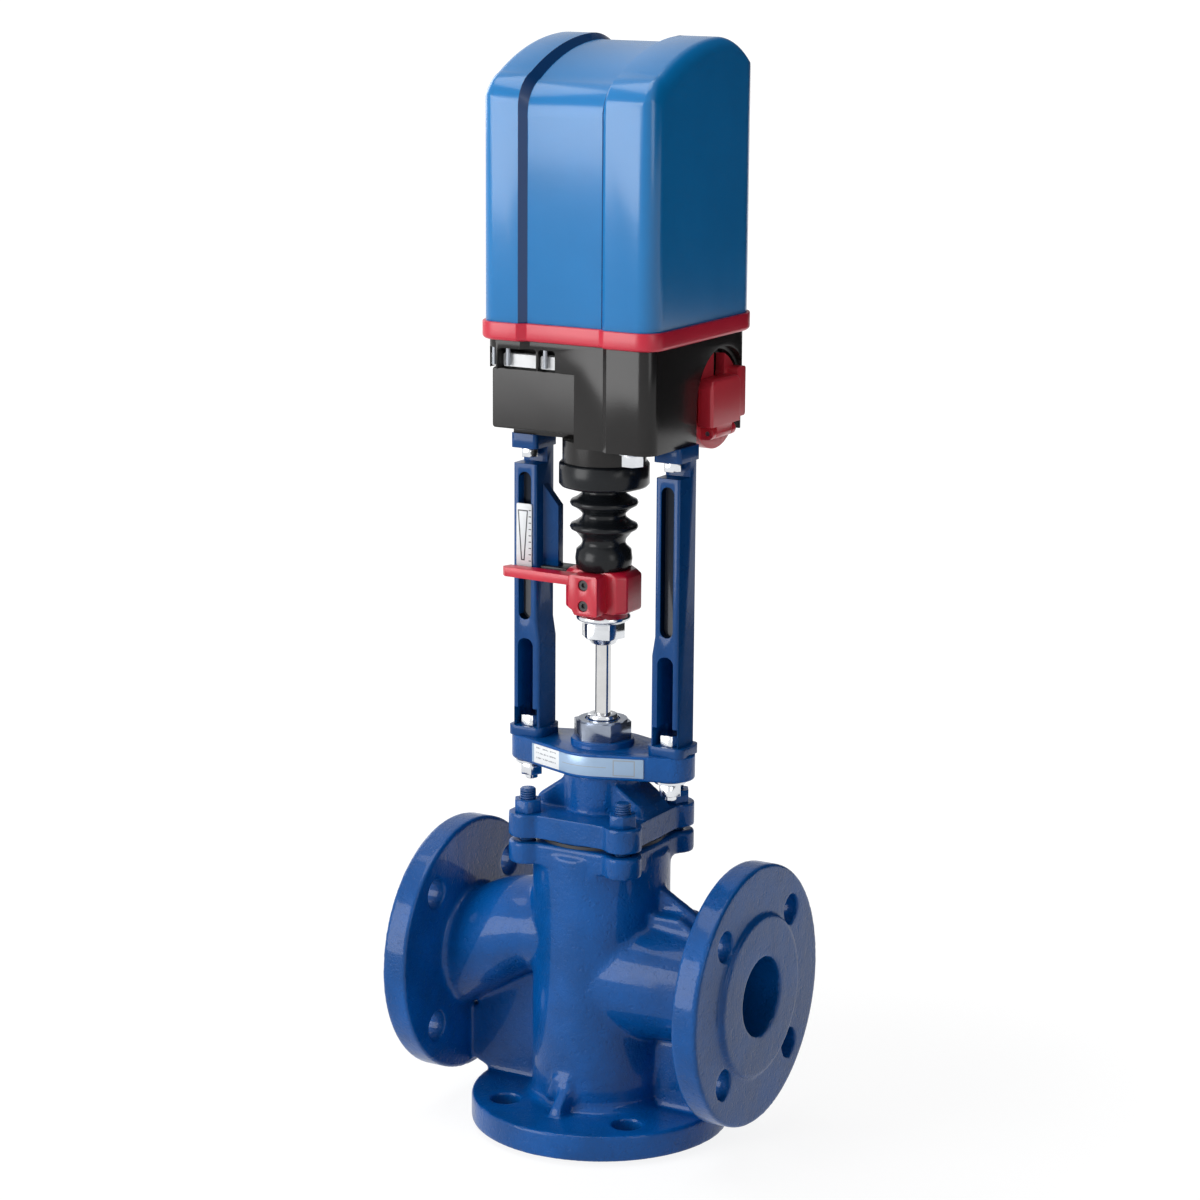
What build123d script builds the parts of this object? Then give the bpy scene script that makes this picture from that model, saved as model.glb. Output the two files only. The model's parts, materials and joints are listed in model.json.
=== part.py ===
from build123d import *
import os
from math import cos, pi, radians, sin, sqrt

# Three-way control valve with an electric actuator on a two-column yoke.
# Millimetres. The origin is the centre of the bottom port's sealing face, +Z is up along the
# stem and +X runs along the pipe to the right port.

# Port flanges, DN 50, PN 16
bore_r = 25
flange_r = 82.5
flange_t = 20
raised_face_r = 51
raised_face_h = 3
bolt_circle_r = 62.5
bolt_hole_r = 9.5
face_to_face = 230
port_z = 103
port_depth = 40
passage_r = 27

# Cast body
barrel_r = 43.5
branch_r = 34
hub_r = 38
web_t = 8
body_top = 191
joint_flange_t = 14
joint_half = 41
lug_pitch = 68
lug_r = 12
chamber_r = 31
upper_chamber_r = 34
seat_h = 8
seat_fit = 0.2
lower_seat_z = 76
upper_seat_z = 120

# Bonnet
gasket_t = 2
joint_gap = 3
bonnet_flange_t = 15
neck_r = 24
spigot_fit = 0.4
nose_r = 11
neck_h = 25
packing_r = 8
stud_r = 5
stud_clear = 0.5
stud_nut_af = 16
stud_nut_h = 8
stud_end = 7

# Stem, plug and coupling
stem_r = 5
running_fit = 0.05
stroke = 20
plug_r = 30
plug_gap = 0.3
stem_top = 344
disc_r = 17
disc_z = 328
disc_t = 4
clamp_z = 336
clamp_h = 26
clamp_af = 44
lock_nut_af = 24
lock_nut_h = 10
lock_cone_h = 4

# Yoke
plate_t = 16
plate_boss_r = 31
plate_lug_r = 14
plate_ring_r = 20
plate_ring_h = 4
clamp_nut_af = 32
clamp_nut_h = 12
column_x = 50.5
column_w = 17
column_d = 22
groove_w = 9
groove_depth = 6
foot_bolt_y = -3
foot_bolt_x = 50
foot_floor = 8
foot_bolt_r = 4
rail_reach = 11
rail_t = 6

# Actuator housing, set off behind the stem
housing_z = 443
housing_h = 63
cover_w = 121
cover_d = 138.5
cover_y = 20
band_h = 11
band_proud = 2
cover_top = 686
wall = 3
floor_t = 10
housing_inset = 2.5
step_z = 450

# Drive train
spindle_r = 8
spindle_top = 520
tooth_module = 1.5
nut_teeth = 36
idler_teeth = 24
wheel_teeth = 30
pinion_teeth = 10
bevel_teeth = 12
gear_t = 7
gear_z = 478
gear_plate_z = 500
gear_plate_t = 3
shaft_r = 3
crank_shaft_r = 4
crank_z = 465
crank_disc_r = 30

joint_z = body_top + joint_gap
bonnet_top = joint_z + bonnet_flange_t
plate_z = bonnet_top + neck_h
plate_top = plate_z + plate_t
nose_top = plate_top + plate_ring_h + clamp_nut_h
clamp_top = clamp_z + clamp_h
housing_top = housing_z + housing_h
cover_z = housing_top + band_h
floor_z = housing_z + floor_t
idler_y = tooth_module * (nut_teeth + idler_teeth) / 2
motor_x = -tooth_module * (wheel_teeth + pinion_teeth) / 2
wheel_z = gear_z + gear_t + 2
nose_thread_fit = 0.1

os.makedirs("parts", exist_ok=True)


def keep(piece, name):
    """Label a finished piece and write its file."""
    piece.label = name
    export_step(piece, f"parts/{name}.step")


def hexagon(flats):
    """Radius to the corners of a hexagon of the given width across flats."""
    return flats / sqrt(3)


# Valve body: a cast barrel on the bottom flange, with a straight right branch and a raised
# left elbow, ports bored through, and webs between the flanges.

face_x = face_to_face / 2
disc_x = face_x - raised_face_h
back_x = face_x - flange_t
elbow_x = 40
elbow_z = port_z + 22
elbow_half_h = 28
elbow_half_w = 36
hub_len = 4

with BuildPart() as valve_body:
    with BuildSketch(Plane.XZ) as barrel_profile:
        with BuildLine():
            Polyline(
                (0, 0),
                (raised_face_r, 0),
                (raised_face_r, raised_face_h),
                (flange_r, raised_face_h),
                (flange_r, flange_t),
                (barrel_r, flange_t),
                (barrel_r, body_top - joint_flange_t / 2),
                (0, body_top - joint_flange_t / 2),
                close=True,
            )
        make_face()
        foot_corner = barrel_profile.vertices().filter_by(lambda v: abs(v.X - barrel_r) < 0.1)
        fillet(foot_corner.sort_by(Axis.Y)[0], 6)
        rim = barrel_profile.vertices().filter_by(lambda v: abs(v.X - flange_r) < 0.1)
        fillet(rim, 1.5)
    revolve(axis=Axis.Z)

    # Right branch, tapering from the barrel to its flange
    with BuildSketch(Plane.XZ) as branch_profile:
        with BuildLine():
            Polyline(
                (0, port_z),
                (face_x, port_z),
                (face_x, port_z + raised_face_r),
                (disc_x, port_z + raised_face_r),
                (disc_x, port_z + flange_r),
                (back_x, port_z + flange_r),
                (back_x, port_z + branch_r),
                (barrel_r / 2, port_z + barrel_r - 3),
                (0, port_z + barrel_r - 3),
                close=True,
            )
        make_face()
        branch_root = branch_profile.vertices().filter_by(lambda v: abs(v.X - back_x) < 0.1)
        fillet(branch_root.sort_by(Axis.Y)[0], 6)
        branch_rim = branch_profile.vertices().group_by(Axis.Y)[-1]
        fillet(branch_rim, 1.5)
    revolve(axis=Axis((0, 0, port_z), (1, 0, 0)))

    # Left flange with its short hub
    with BuildSketch(Plane.XZ) as left_profile:
        with BuildLine():
            Polyline(
                (-face_x, port_z),
                (-face_x, port_z + raised_face_r),
                (-disc_x, port_z + raised_face_r),
                (-disc_x, port_z + flange_r),
                (-back_x, port_z + flange_r),
                (-back_x, port_z + hub_r),
                (-back_x + hub_len, port_z + hub_r),
                (-back_x + hub_len, port_z),
                close=True,
            )
        make_face()
        hub_root = left_profile.vertices().filter_by(lambda v: abs(v.X + back_x) < 0.1)
        fillet(hub_root.sort_by(Axis.Y)[0], 3.5)
        left_rim = left_profile.vertices().group_by(Axis.Y)[-1]
        fillet(left_rim, 1.5)
    revolve(axis=Axis((0, 0, port_z), (1, 0, 0)))

    # Elbow that lifts the left passage into the upper chamber
    with BuildSketch(Plane.YZ.offset(-back_x + hub_len)):
        with Locations((0, port_z)):
            Circle(hub_r)
    with BuildSketch(Plane.YZ.offset(-(back_x + elbow_x) / 2)):
        with Locations((0, (port_z + elbow_z) / 2 + 2)):
            Ellipse((hub_r + elbow_half_w) / 2 + 2, (hub_r + elbow_half_h) / 2 + 2)
    with BuildSketch(Plane.YZ.offset(-elbow_x)):
        with Locations((0, elbow_z)):
            Ellipse(elbow_half_w, elbow_half_h)
    loft()
    with BuildSketch(Plane.YZ.offset(-elbow_x)):
        with Locations((0, elbow_z)):
            Ellipse(elbow_half_w, elbow_half_h)
    extrude(amount=elbow_x)

    # Webs in the plane of the pipe, below both branches and above the right one
    for side in (-1, 1):
        with BuildSketch(Plane.XZ):
            with BuildLine():
                Polyline(
                    (side * (back_x + 1), port_z - 45),
                    (side * 58, port_z - 12),
                    (side * 30, port_z - 12),
                    (side * 30, flange_t - 1),
                    (side * (flange_r - 2.5), flange_t - 1),
                    (side * (back_x + 1), flange_t + 6),
                    close=True,
                )
            make_face()
        extrude(amount=web_t / 2, both=True)
    with BuildSketch(Plane.XZ):
        with BuildLine():
            Polyline(
                (barrel_r - 4, port_z + 62),
                (back_x + 1, port_z + 30),
                (back_x + 1, port_z),
                (barrel_r - 4, port_z),
                close=True,
            )
        make_face()
    extrude(amount=web_t / 2, both=True)

    # Ribs across the pipe at the foot of the barrel
    with BuildSketch(Plane.YZ):
        with BuildLine():
            Polyline(
                (-58, flange_t - 1),
                (-58, flange_t + 4),
                (-barrel_r + 2, flange_t + 22),
                (barrel_r - 2, flange_t + 22),
                (58, flange_t + 4),
                (58, flange_t - 1),
                close=True,
            )
        make_face()
    extrude(amount=web_t / 2, both=True)

    # Square joint flange with a lug at each corner
    with BuildSketch(Plane.XY.offset(body_top - joint_flange_t)) as joint_sketch:
        Rectangle(2 * joint_half, 2 * joint_half)
        with GridLocations(lug_pitch, lug_pitch, 2, 2):
            Circle(lug_r)
        fillet(joint_sketch.vertices(), 4)
    extrude(amount=joint_flange_t)
    under_flange = valve_body.faces().filter_by(Plane.XY).group_by(Axis.Z)[-1]
    chamfer(under_flange.edges().filter_by(lambda e: e.length > 20), 1)

    # Bottom port and the chambers above it
    with Locations((0, 0, (lower_seat_z - seat_h) / 2)):
        Cylinder(bore_r, lower_seat_z - seat_h + 2, mode=Mode.SUBTRACT)
    with BuildSketch(Plane.XY.offset(lower_seat_z - seat_h)):
        Circle(chamber_r)
    extrude(amount=upper_seat_z - lower_seat_z + seat_h, mode=Mode.SUBTRACT)
    with BuildSketch(Plane.XY.offset(upper_seat_z)):
        Circle(upper_chamber_r)
    extrude(amount=body_top - upper_seat_z, mode=Mode.SUBTRACT)

    # Right port and its cored passage, cut flat where it passes below the upper seat
    with BuildSketch(Plane.YZ.offset(face_x - port_depth)):
        with Locations((0, port_z)):
            Circle(bore_r)
    extrude(amount=port_depth, mode=Mode.SUBTRACT)
    with BuildSketch(Plane.YZ.offset(barrel_r - 6)):
        with Locations((0, port_z)):
            Circle(passage_r)
    extrude(amount=face_x - port_depth - barrel_r + 6, mode=Mode.SUBTRACT)
    with BuildSketch(Plane.YZ):
        with Locations((0, port_z)):
            Circle(passage_r)
        with Locations((0, upper_seat_z - 1)):
            Rectangle(4 * bore_r, 2 * bore_r, align=(Align.CENTER, Align.MIN), mode=Mode.SUBTRACT)
    extrude(amount=barrel_r - 5, mode=Mode.SUBTRACT)

    # Left port, rising to the upper chamber above the upper seat
    with BuildSketch(Plane.YZ.offset(-face_x)):
        with Locations((0, port_z)):
            Circle(bore_r)
    extrude(amount=face_x - back_x + hub_len, mode=Mode.SUBTRACT)
    with BuildSketch(Plane.YZ.offset(-back_x + hub_len)):
        with Locations((0, port_z)):
            Circle(bore_r)
    with BuildSketch(Plane.YZ.offset(-upper_chamber_r + 4)):
        with Locations((0, upper_seat_z + seat_h + 10)):
            Ellipse(bore_r, 10)
    loft(mode=Mode.SUBTRACT)

    # Bolt holes of the three ports and the stud holes of the joint
    with Locations(Plane.XY):
        with PolarLocations(bolt_circle_r, 4, start_angle=45):
            Cylinder(bolt_hole_r, 3 * flange_t, mode=Mode.SUBTRACT)
    for side in (-1, 1):
        with BuildSketch(Plane.YZ.offset(side * (back_x - 1))):
            with Locations((0, port_z)):
                with PolarLocations(bolt_circle_r, 4, start_angle=45):
                    Circle(bolt_hole_r)
        extrude(amount=side * (flange_t + 2), mode=Mode.SUBTRACT)
    with BuildSketch(Plane.XY.offset(body_top - joint_flange_t - 1)):
        with GridLocations(lug_pitch, lug_pitch, 2, 2):
            Circle(stud_r)
    extrude(amount=joint_flange_t + 2, mode=Mode.SUBTRACT)
keep(valve_body.part, "valve_body")


# Seat rings, pressed on ledges in the body

def seat_ring(base, outer_r):
    """A seat ring with a coned edge, from its base height."""
    with BuildPart() as ring:
        with BuildSketch(Plane.XY.offset(base)):
            Circle(outer_r)
            Circle(bore_r, mode=Mode.SUBTRACT)
        extrude(amount=seat_h)
        chamfer(ring.edges().filter_by(GeomType.CIRCLE).sort_by(SortBy.RADIUS)[0], 1.5)
        chamfer(ring.edges().filter_by(GeomType.CIRCLE).sort_by(SortBy.RADIUS)[0], 1.5)
    return ring.part


keep(seat_ring(lower_seat_z - seat_h, chamber_r - seat_fit), "lower_seat_ring")
keep(seat_ring(upper_seat_z, upper_chamber_r - seat_fit), "upper_seat_ring")

# Joint gasket

with BuildPart() as bonnet_gasket:
    with BuildSketch(Plane.XY.offset(body_top)):
        Circle(joint_half - 1)
        Circle(upper_chamber_r + spigot_fit, mode=Mode.SUBTRACT)
    extrude(amount=gasket_t)
keep(bonnet_gasket.part, "bonnet_gasket")

# Bonnet: flange, shouldered neck and threaded nose, with the packing bore inside

guide_r = 8
guide_h = 18
guide_z = joint_z - 7
shoulder_h = 7
shoulder_gap = 6
throat_z = nose_top - 51

with BuildPart() as bonnet:
    with BuildSketch(Plane.XZ) as bonnet_profile:
        with BuildLine():
            Polyline(
                (0, guide_z),
                (upper_chamber_r - spigot_fit, guide_z),
                (upper_chamber_r - spigot_fit, body_top + gasket_t),
                (joint_half - 1, body_top + gasket_t),
                (joint_half - 1, joint_z + 4),
                (neck_r, joint_z + 4),
                (neck_r, plate_z),
                (nose_r, plate_z),
                (nose_r, nose_top),
                (0, nose_top),
                close=True,
            )
        make_face()
    revolve(axis=Axis.Z)
    with BuildSketch(Plane.XY.offset(joint_z)) as bonnet_flange:
        Rectangle(2 * joint_half, 2 * joint_half)
        with GridLocations(lug_pitch, lug_pitch, 2, 2):
            Circle(lug_r)
        fillet(bonnet_flange.vertices(), 4)
    extrude(amount=bonnet_flange_t)
    # Shoulders that carry the load of the columns to the flange
    with BuildSketch(Plane.XZ) as shoulder:
        with BuildLine():
            Polyline(
                (-joint_half + 1, bonnet_top - 1),
                (-joint_half + 4, bonnet_top + shoulder_h),
                (-neck_r + 4, plate_z - shoulder_gap),
                (neck_r - 4, plate_z - shoulder_gap),
                (joint_half - 4, bonnet_top + shoulder_h),
                (joint_half - 1, bonnet_top - 1),
                close=True,
            )
        make_face()
        fillet(shoulder.vertices().group_by(Axis.Y)[1], 5)
    extrude(amount=neck_r * 0.7, both=True)
    with BuildSketch(Plane.XY.offset(joint_z - 1)):
        with GridLocations(lug_pitch, lug_pitch, 2, 2):
            Circle(stud_r + stud_clear)
    extrude(amount=bonnet_flange_t + 2, mode=Mode.SUBTRACT)
    with BuildSketch(Plane.XY.offset(guide_z)):
        Circle(guide_r)
    extrude(amount=guide_h, mode=Mode.SUBTRACT)
    with BuildSketch(Plane.XY.offset(guide_z)):
        Circle(stem_r + 0.6)
    extrude(amount=nose_top - guide_z, mode=Mode.SUBTRACT)
    with BuildSketch(Plane.XY.offset(throat_z)):
        Circle(packing_r)
    extrude(amount=nose_top - throat_z, mode=Mode.SUBTRACT)
keep(bonnet.part, "bonnet")

# Studs and nuts of the joint, one at each lug

stud_base = body_top - joint_flange_t + 1
stud_len = bonnet_top + stud_nut_h + stud_end - stud_base

with BuildPart() as bonnet_studs:
    with BuildSketch(Plane.XY.offset(stud_base)):
        with GridLocations(lug_pitch, lug_pitch, 2, 2):
            Circle(stud_r - running_fit)
    extrude(amount=stud_len)
    chamfer(bonnet_studs.edges().group_by(Axis.Z)[-1], 0.8)
keep(bonnet_studs.part, "bonnet_studs")

with BuildPart() as bonnet_nuts:
    with BuildSketch(Plane.XY.offset(bonnet_top)):
        with GridLocations(lug_pitch, lug_pitch, 2, 2):
            RegularPolygon(hexagon(stud_nut_af), 6)
            Circle(stud_r, mode=Mode.SUBTRACT)
    extrude(amount=stud_nut_h)
keep(bonnet_nuts.part, "bonnet_nuts")

# Guide bush, spring-loaded packing and gland around the stem

with BuildPart() as guide_bush:
    with BuildSketch(Plane.XY.offset(guide_z)):
        Circle(guide_r)
        Circle(stem_r + running_fit, mode=Mode.SUBTRACT)
    extrude(amount=guide_h)
keep(guide_bush.part, "guide_bush")

spring_h = 2
spring_t = 0.8
spring_z = throat_z

with BuildPart() as packing_springs:
    for turn in range(3):
        low = spring_z + turn * spring_h
        with BuildSketch(Plane.XZ):
            with BuildLine():
                Polyline(
                    (stem_r + 0.6, low + spring_h - spring_t),
                    (packing_r - 0.3, low),
                    (packing_r - 0.3, low + spring_t),
                    (stem_r + 0.6, low + spring_h),
                    close=True,
                )
            make_face()
        revolve(axis=Axis.Z)
keep(packing_springs.part, "packing_springs")

washer_z = spring_z + 3 * spring_h
packing_z = washer_z + 2
packing_h = 25
ring_count = 5

with BuildPart() as packing_washer:
    with BuildSketch(Plane.XY.offset(washer_z)):
        Circle(packing_r - 0.1)
        Circle(stem_r + 0.3, mode=Mode.SUBTRACT)
    extrude(amount=packing_z - washer_z)
keep(packing_washer.part, "packing_washer")

with BuildPart() as packing_rings:
    ring_h = packing_h / ring_count
    for ring in range(ring_count):
        with BuildSketch(Plane.XY.offset(packing_z + ring * ring_h)):
            Circle(packing_r)
            Circle(stem_r + running_fit, mode=Mode.SUBTRACT)
        extrude(amount=ring_h - 0.1)
keep(packing_rings.part, "packing_rings")

gland_z = packing_z + packing_h
gland_head_r = 9.5
gland_head_h = 3

with BuildPart() as packing_gland:
    with BuildSketch(Plane.XY.offset(gland_z)):
        Circle(packing_r)
    extrude(amount=nose_top - gland_z)
    with BuildSketch(Plane.XY.offset(nose_top)):
        Circle(gland_head_r)
    extrude(amount=gland_head_h)
    chamfer(packing_gland.edges().group_by(Axis.Z)[-1], 0.8)
    with BuildSketch(Plane.XY.offset(gland_z)):
        Circle(stem_r + running_fit)
    extrude(amount=nose_top + gland_head_h - gland_z, mode=Mode.SUBTRACT)
keep(packing_gland.part, "packing_gland")

# Yoke plate, clamped on the nose by one large nut

with BuildPart() as yoke_plate:
    with BuildSketch(Plane.XY.offset(plate_z)):
        with Locations((-foot_bolt_x, 0), (foot_bolt_x, 0)):
            Circle(plate_lug_r)
        Circle(plate_boss_r)
        make_hull()
    extrude(amount=plate_t)
    fillet(yoke_plate.edges().group_by(Axis.Z)[0], 2)
    fillet(yoke_plate.edges().group_by(Axis.Z)[-1], 1)
    with BuildSketch(Plane.XY.offset(plate_top)):
        Circle(plate_ring_r)
    extrude(amount=plate_ring_h)
    fillet(yoke_plate.edges().group_by(Axis.Z)[-1], 1)
    with BuildSketch(Plane.XY.offset(plate_z)):
        Circle(nose_r + nose_thread_fit)
        with Locations((-foot_bolt_x, foot_bolt_y), (foot_bolt_x, foot_bolt_y)):
            Circle(foot_bolt_r + 0.5)
    extrude(amount=plate_t + plate_ring_h, mode=Mode.SUBTRACT)
keep(yoke_plate.part, "yoke_plate")

clamp_nut_z = plate_top + plate_ring_h

with BuildPart() as yoke_clamp_nut:
    with BuildSketch(Plane.XY.offset(clamp_nut_z)):
        RegularPolygon(hexagon(clamp_nut_af), 6, rotation=15)
    extrude(amount=clamp_nut_h - 1)
    with BuildSketch(Plane.XY.offset(clamp_nut_z + clamp_nut_h - 1)):
        Circle(clamp_nut_af / 2 - 0.5)
    extrude(amount=1)
    with BuildSketch(Plane.XY.offset(clamp_nut_z)):
        Circle(nose_r + nose_thread_fit)
    extrude(amount=clamp_nut_h, mode=Mode.SUBTRACT)
keep(yoke_clamp_nut.part, "yoke_clamp_nut")

# Bare rating plate, bent round the front of the yoke plate

label_t = 0.8
label_half = 40
label_margin = 1.5

with BuildPart() as nameplate:
    with BuildSketch(Plane.XY.offset(plate_z + label_margin + 1)):
        with Locations((-foot_bolt_x, 0), (foot_bolt_x, 0)):
            Circle(plate_lug_r + label_t)
        Circle(plate_boss_r + label_t)
        make_hull()
    extrude(amount=plate_t - 2 * label_margin - 1)
    with BuildSketch(Plane.XY.offset(plate_z)):
        with Locations((-foot_bolt_x, 0), (foot_bolt_x, 0)):
            Circle(plate_lug_r)
        Circle(plate_boss_r)
        make_hull()
    extrude(amount=plate_t, mode=Mode.SUBTRACT)
    with BuildSketch(Plane.XY.offset(plate_z)):
        Rectangle(2 * label_half, 2 * plate_boss_r + 10, align=(Align.CENTER, Align.MAX))
    extrude(amount=plate_t, mode=Mode.INTERSECT)
keep(nameplate.part, "nameplate")

# Columns: cast bars of H section with a hollow foot for the bolt, and a head under the housing

column_in = column_x - column_w / 2
column_out = column_x + column_w / 2
foot_swell = 2
pocket_w = 11
pocket_z = plate_top + foot_floor
pocket_top = pocket_z + 55
groove_z = pocket_top + 12
groove_top = housing_z - 24
head_h = 9
head_w = 19
head_bolt_y = -5
head_bolt_r = 3
head_bolt_af = 10
head_bolt_h = 6
bolt_grip = 7
rail_z = port_z + 250
rail_len = 55


def column(side):
    """One column of the yoke, on the given side of the stem."""
    with BuildPart() as bar:
        with BuildSketch(Plane.XZ) as outline:
            with BuildLine():
                Polyline(
                    (side * column_out, plate_top),
                    (side * column_out, housing_z),
                    (side * column_in, housing_z),
                    (side * column_in, groove_z),
                    (side * (column_in - foot_swell), pocket_top),
                    (side * (column_in - foot_swell), plate_top),
                    close=True,
                )
            make_face()
        extrude(amount=column_d / 2, both=True)
        fillet(bar.faces().filter_by(Plane.XZ).edges(), 2)
        # Head and foot pads
        with BuildSketch(Plane.XY.offset(housing_z - head_h)) as head:
            with Locations((side * column_x, 0)):
                Rectangle(head_w, column_d + 4)
            fillet(head.vertices(), 3)
        extrude(amount=head_h)
        with BuildSketch(Plane.XY.offset(plate_top)) as foot:
            with Locations((side * foot_bolt_x, 0)):
                Rectangle(2 * plate_lug_r - 3, column_d + 3)
            fillet(foot.vertices(), 5)
        extrude(amount=foot_floor - 2)
        # Long grooves on both broad faces
        for front in (-1, 1):
            with BuildSketch(Plane.XZ.offset(-front * column_d / 2)):
                with Locations((side * column_x, (groove_z + groove_top) / 2)):
                    SlotOverall(groove_top - groove_z, groove_w, rotation=90)
            extrude(amount=front * groove_depth, mode=Mode.SUBTRACT)
        # Notch under the head for the bolt into the housing
        with BuildSketch(Plane.XY.offset(housing_z - head_h)):
            with Locations((side * column_x, -column_d / 2)):
                Rectangle(
                    2 * column_w, column_d / 2 + 2, align=(Align.CENTER, Align.MIN)
                )
        extrude(amount=-head_bolt_h - 4, mode=Mode.SUBTRACT)
        with BuildSketch(Plane.XY.offset(housing_z)):
            with Locations((side * column_x, head_bolt_y)):
                Circle(head_bolt_r)
        extrude(amount=-head_h, mode=Mode.SUBTRACT)
        # Open pocket over the foot bolt
        with BuildSketch(Plane.XZ.offset(column_d / 2)) as pocket:
            with Locations((side * foot_bolt_x, (pocket_z + pocket_top) / 2)):
                Rectangle(pocket_w, pocket_top - pocket_z)
            fillet(pocket.vertices().group_by(Axis.Y)[-1], 5)
        extrude(amount=-(column_d / 2 - foot_bolt_y + 7), mode=Mode.SUBTRACT)
        with BuildSketch(Plane.XY.offset(pocket_z - 2)):
            with Locations((side * foot_bolt_x, foot_bolt_y)):
                Circle(8.5)
                with Locations((0, -8)):
                    Rectangle(17, 16)
        extrude(amount=12, mode=Mode.SUBTRACT)
        with BuildSketch(Plane.XY.offset(plate_top)):
            with Locations((side * foot_bolt_x, foot_bolt_y)):
                Circle(foot_bolt_r + 0.5)
        extrude(amount=foot_floor, mode=Mode.SUBTRACT)
    return bar


with BuildPart() as column_left:
    add(column(-1).part)
    # Rail that stops the coupling from turning
    with BuildSketch(Plane.XZ):
        with BuildLine():
            Polyline(
                (-column_in - 1, rail_z - 6),
                (-column_in + rail_reach, rail_z + 4),
                (-column_in + rail_reach, rail_z + rail_len - 10),
                (-column_in - 1, rail_z + rail_len + 4),
                close=True,
            )
        make_face()
    extrude(amount=rail_t / 2, both=True)
keep(column_left.part, "column_left")
keep(column(1).part, "column_right")

bolt_head_h = 7
bolt_head_af = 13
housing_bolt_r = 4
washer_t = 2
flange_nut_h = 8

with BuildPart() as foot_bolts:
    with BuildSketch(Plane.XY.offset(pocket_z - 2)):
        with Locations((-foot_bolt_x, foot_bolt_y), (foot_bolt_x, foot_bolt_y)):
            RegularPolygon(hexagon(bolt_head_af), 6)
    extrude(amount=bolt_head_h)
    bolt_tip = plate_z - washer_t - flange_nut_h - 3
    with BuildSketch(Plane.XY.offset(bolt_tip)):
        with Locations((-foot_bolt_x, foot_bolt_y), (foot_bolt_x, foot_bolt_y)):
            Circle(foot_bolt_r)
    extrude(amount=pocket_z - 2 - bolt_tip)
keep(foot_bolts.part, "foot_bolts")

with BuildPart() as foot_washers:
    with BuildSketch(Plane.XY.offset(plate_z - washer_t)):
        with Locations((-foot_bolt_x, foot_bolt_y), (foot_bolt_x, foot_bolt_y)):
            Circle(10)
            Circle(foot_bolt_r + 0.2, mode=Mode.SUBTRACT)
    extrude(amount=washer_t)
keep(foot_washers.part, "foot_washers")

with BuildPart() as foot_nuts:
    with BuildSketch(Plane.XY.offset(plate_z - washer_t - flange_nut_h)):
        with Locations((-foot_bolt_x, foot_bolt_y), (foot_bolt_x, foot_bolt_y)):
            RegularPolygon(hexagon(bolt_head_af), 6)
            Circle(foot_bolt_r, mode=Mode.SUBTRACT)
    extrude(amount=flange_nut_h)
keep(foot_nuts.part, "foot_nuts")

# Stroke scale on the left column

scale_t = 1
scale_w = 11
scale_h = 40
scale_z = port_z + 256

with BuildPart() as scale_plate:
    with BuildSketch(Plane.XZ.offset(column_d / 2)) as scale_face:
        with Locations((-column_x, scale_z + scale_h / 2)):
            Rectangle(scale_w, scale_h)
        fillet(scale_face.vertices(), 1)
    extrude(amount=scale_t)
keep(scale_plate.part, "scale_plate")

# Stem, plug and cross pin

plug_z = lower_seat_z + plug_gap
plug_h = upper_seat_z - lower_seat_z - stroke - 2 * plug_gap
plug_boss_h = 14
pin_r = 2

with BuildPart() as valve_stem:
    with BuildSketch(Plane.XY.offset(plug_z + 6)):
        Circle(stem_r)
    extrude(amount=stem_top - plug_z - 6)
    chamfer(valve_stem.edges().group_by(Axis.Z)[-1], 0.8)
    with Locations(Location((0, 0, plug_z + plug_h + plug_boss_h / 2), (0, 90, 0))):
        Cylinder(pin_r, 3 * stem_r, mode=Mode.SUBTRACT)
keep(valve_stem.part, "valve_stem")

with BuildPart() as valve_plug:
    with BuildSketch(Plane.XZ) as plug_profile:
        with BuildLine():
            Polyline(
                (0, plug_z),
                (bore_r + 1, plug_z),
                (plug_r, plug_z + 4),
                (plug_r, plug_z + plug_h - 4),
                (bore_r + 1, plug_z + plug_h),
                (11, plug_z + plug_h),
                (11, plug_z + plug_h + plug_boss_h),
                (0, plug_z + plug_h + plug_boss_h),
                close=True,
            )
        make_face()
    revolve(axis=Axis.Z)
    with BuildSketch(Plane.XY.offset(plug_z + 6)):
        Circle(stem_r)
    extrude(amount=plug_h + plug_boss_h, mode=Mode.SUBTRACT)
    with Locations(Location((0, 0, plug_z + plug_h + plug_boss_h / 2), (0, 90, 0))):
        Cylinder(pin_r, 30, mode=Mode.SUBTRACT)
keep(valve_plug.part, "valve_plug")

with BuildPart() as plug_pin:
    with Locations(Location((0, 0, plug_z + plug_h + plug_boss_h / 2), (0, 90, 0))):
        Cylinder(pin_r, 20)
keep(plug_pin.part, "plug_pin")

# Coupling between stem and drive spindle

with BuildPart() as lock_nut:
    with BuildSketch(Plane.XY.offset(disc_z - lock_nut_h)):
        RegularPolygon(hexagon(lock_nut_af), 6, rotation=15)
    extrude(amount=lock_nut_h)
    with BuildSketch(Plane.XY.offset(disc_z - lock_nut_h)):
        Circle(lock_nut_af / 2 - 2)
    extrude(amount=-lock_cone_h, taper=30)
    with BuildSketch(Plane.XY.offset(disc_z - lock_nut_h - lock_cone_h)):
        Circle(stem_r)
    extrude(amount=lock_nut_h + lock_cone_h, mode=Mode.SUBTRACT)
keep(lock_nut.part, "lock_nut")

with BuildPart() as coupling_washer:
    with BuildSketch(Plane.XZ):
        with BuildLine():
            Polyline(
                (stem_r, disc_z),
                (disc_r - 3, disc_z),
                (disc_r, disc_z + 2),
                (disc_r, disc_z + disc_t),
                (spindle_r + 4, clamp_z),
                (stem_r, clamp_z),
                close=True,
            )
        make_face()
    revolve(axis=Axis.Z)
keep(coupling_washer.part, "coupling_washer")

jaw_face = 26
jaw_w = 20
jaw_split = 14

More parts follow.
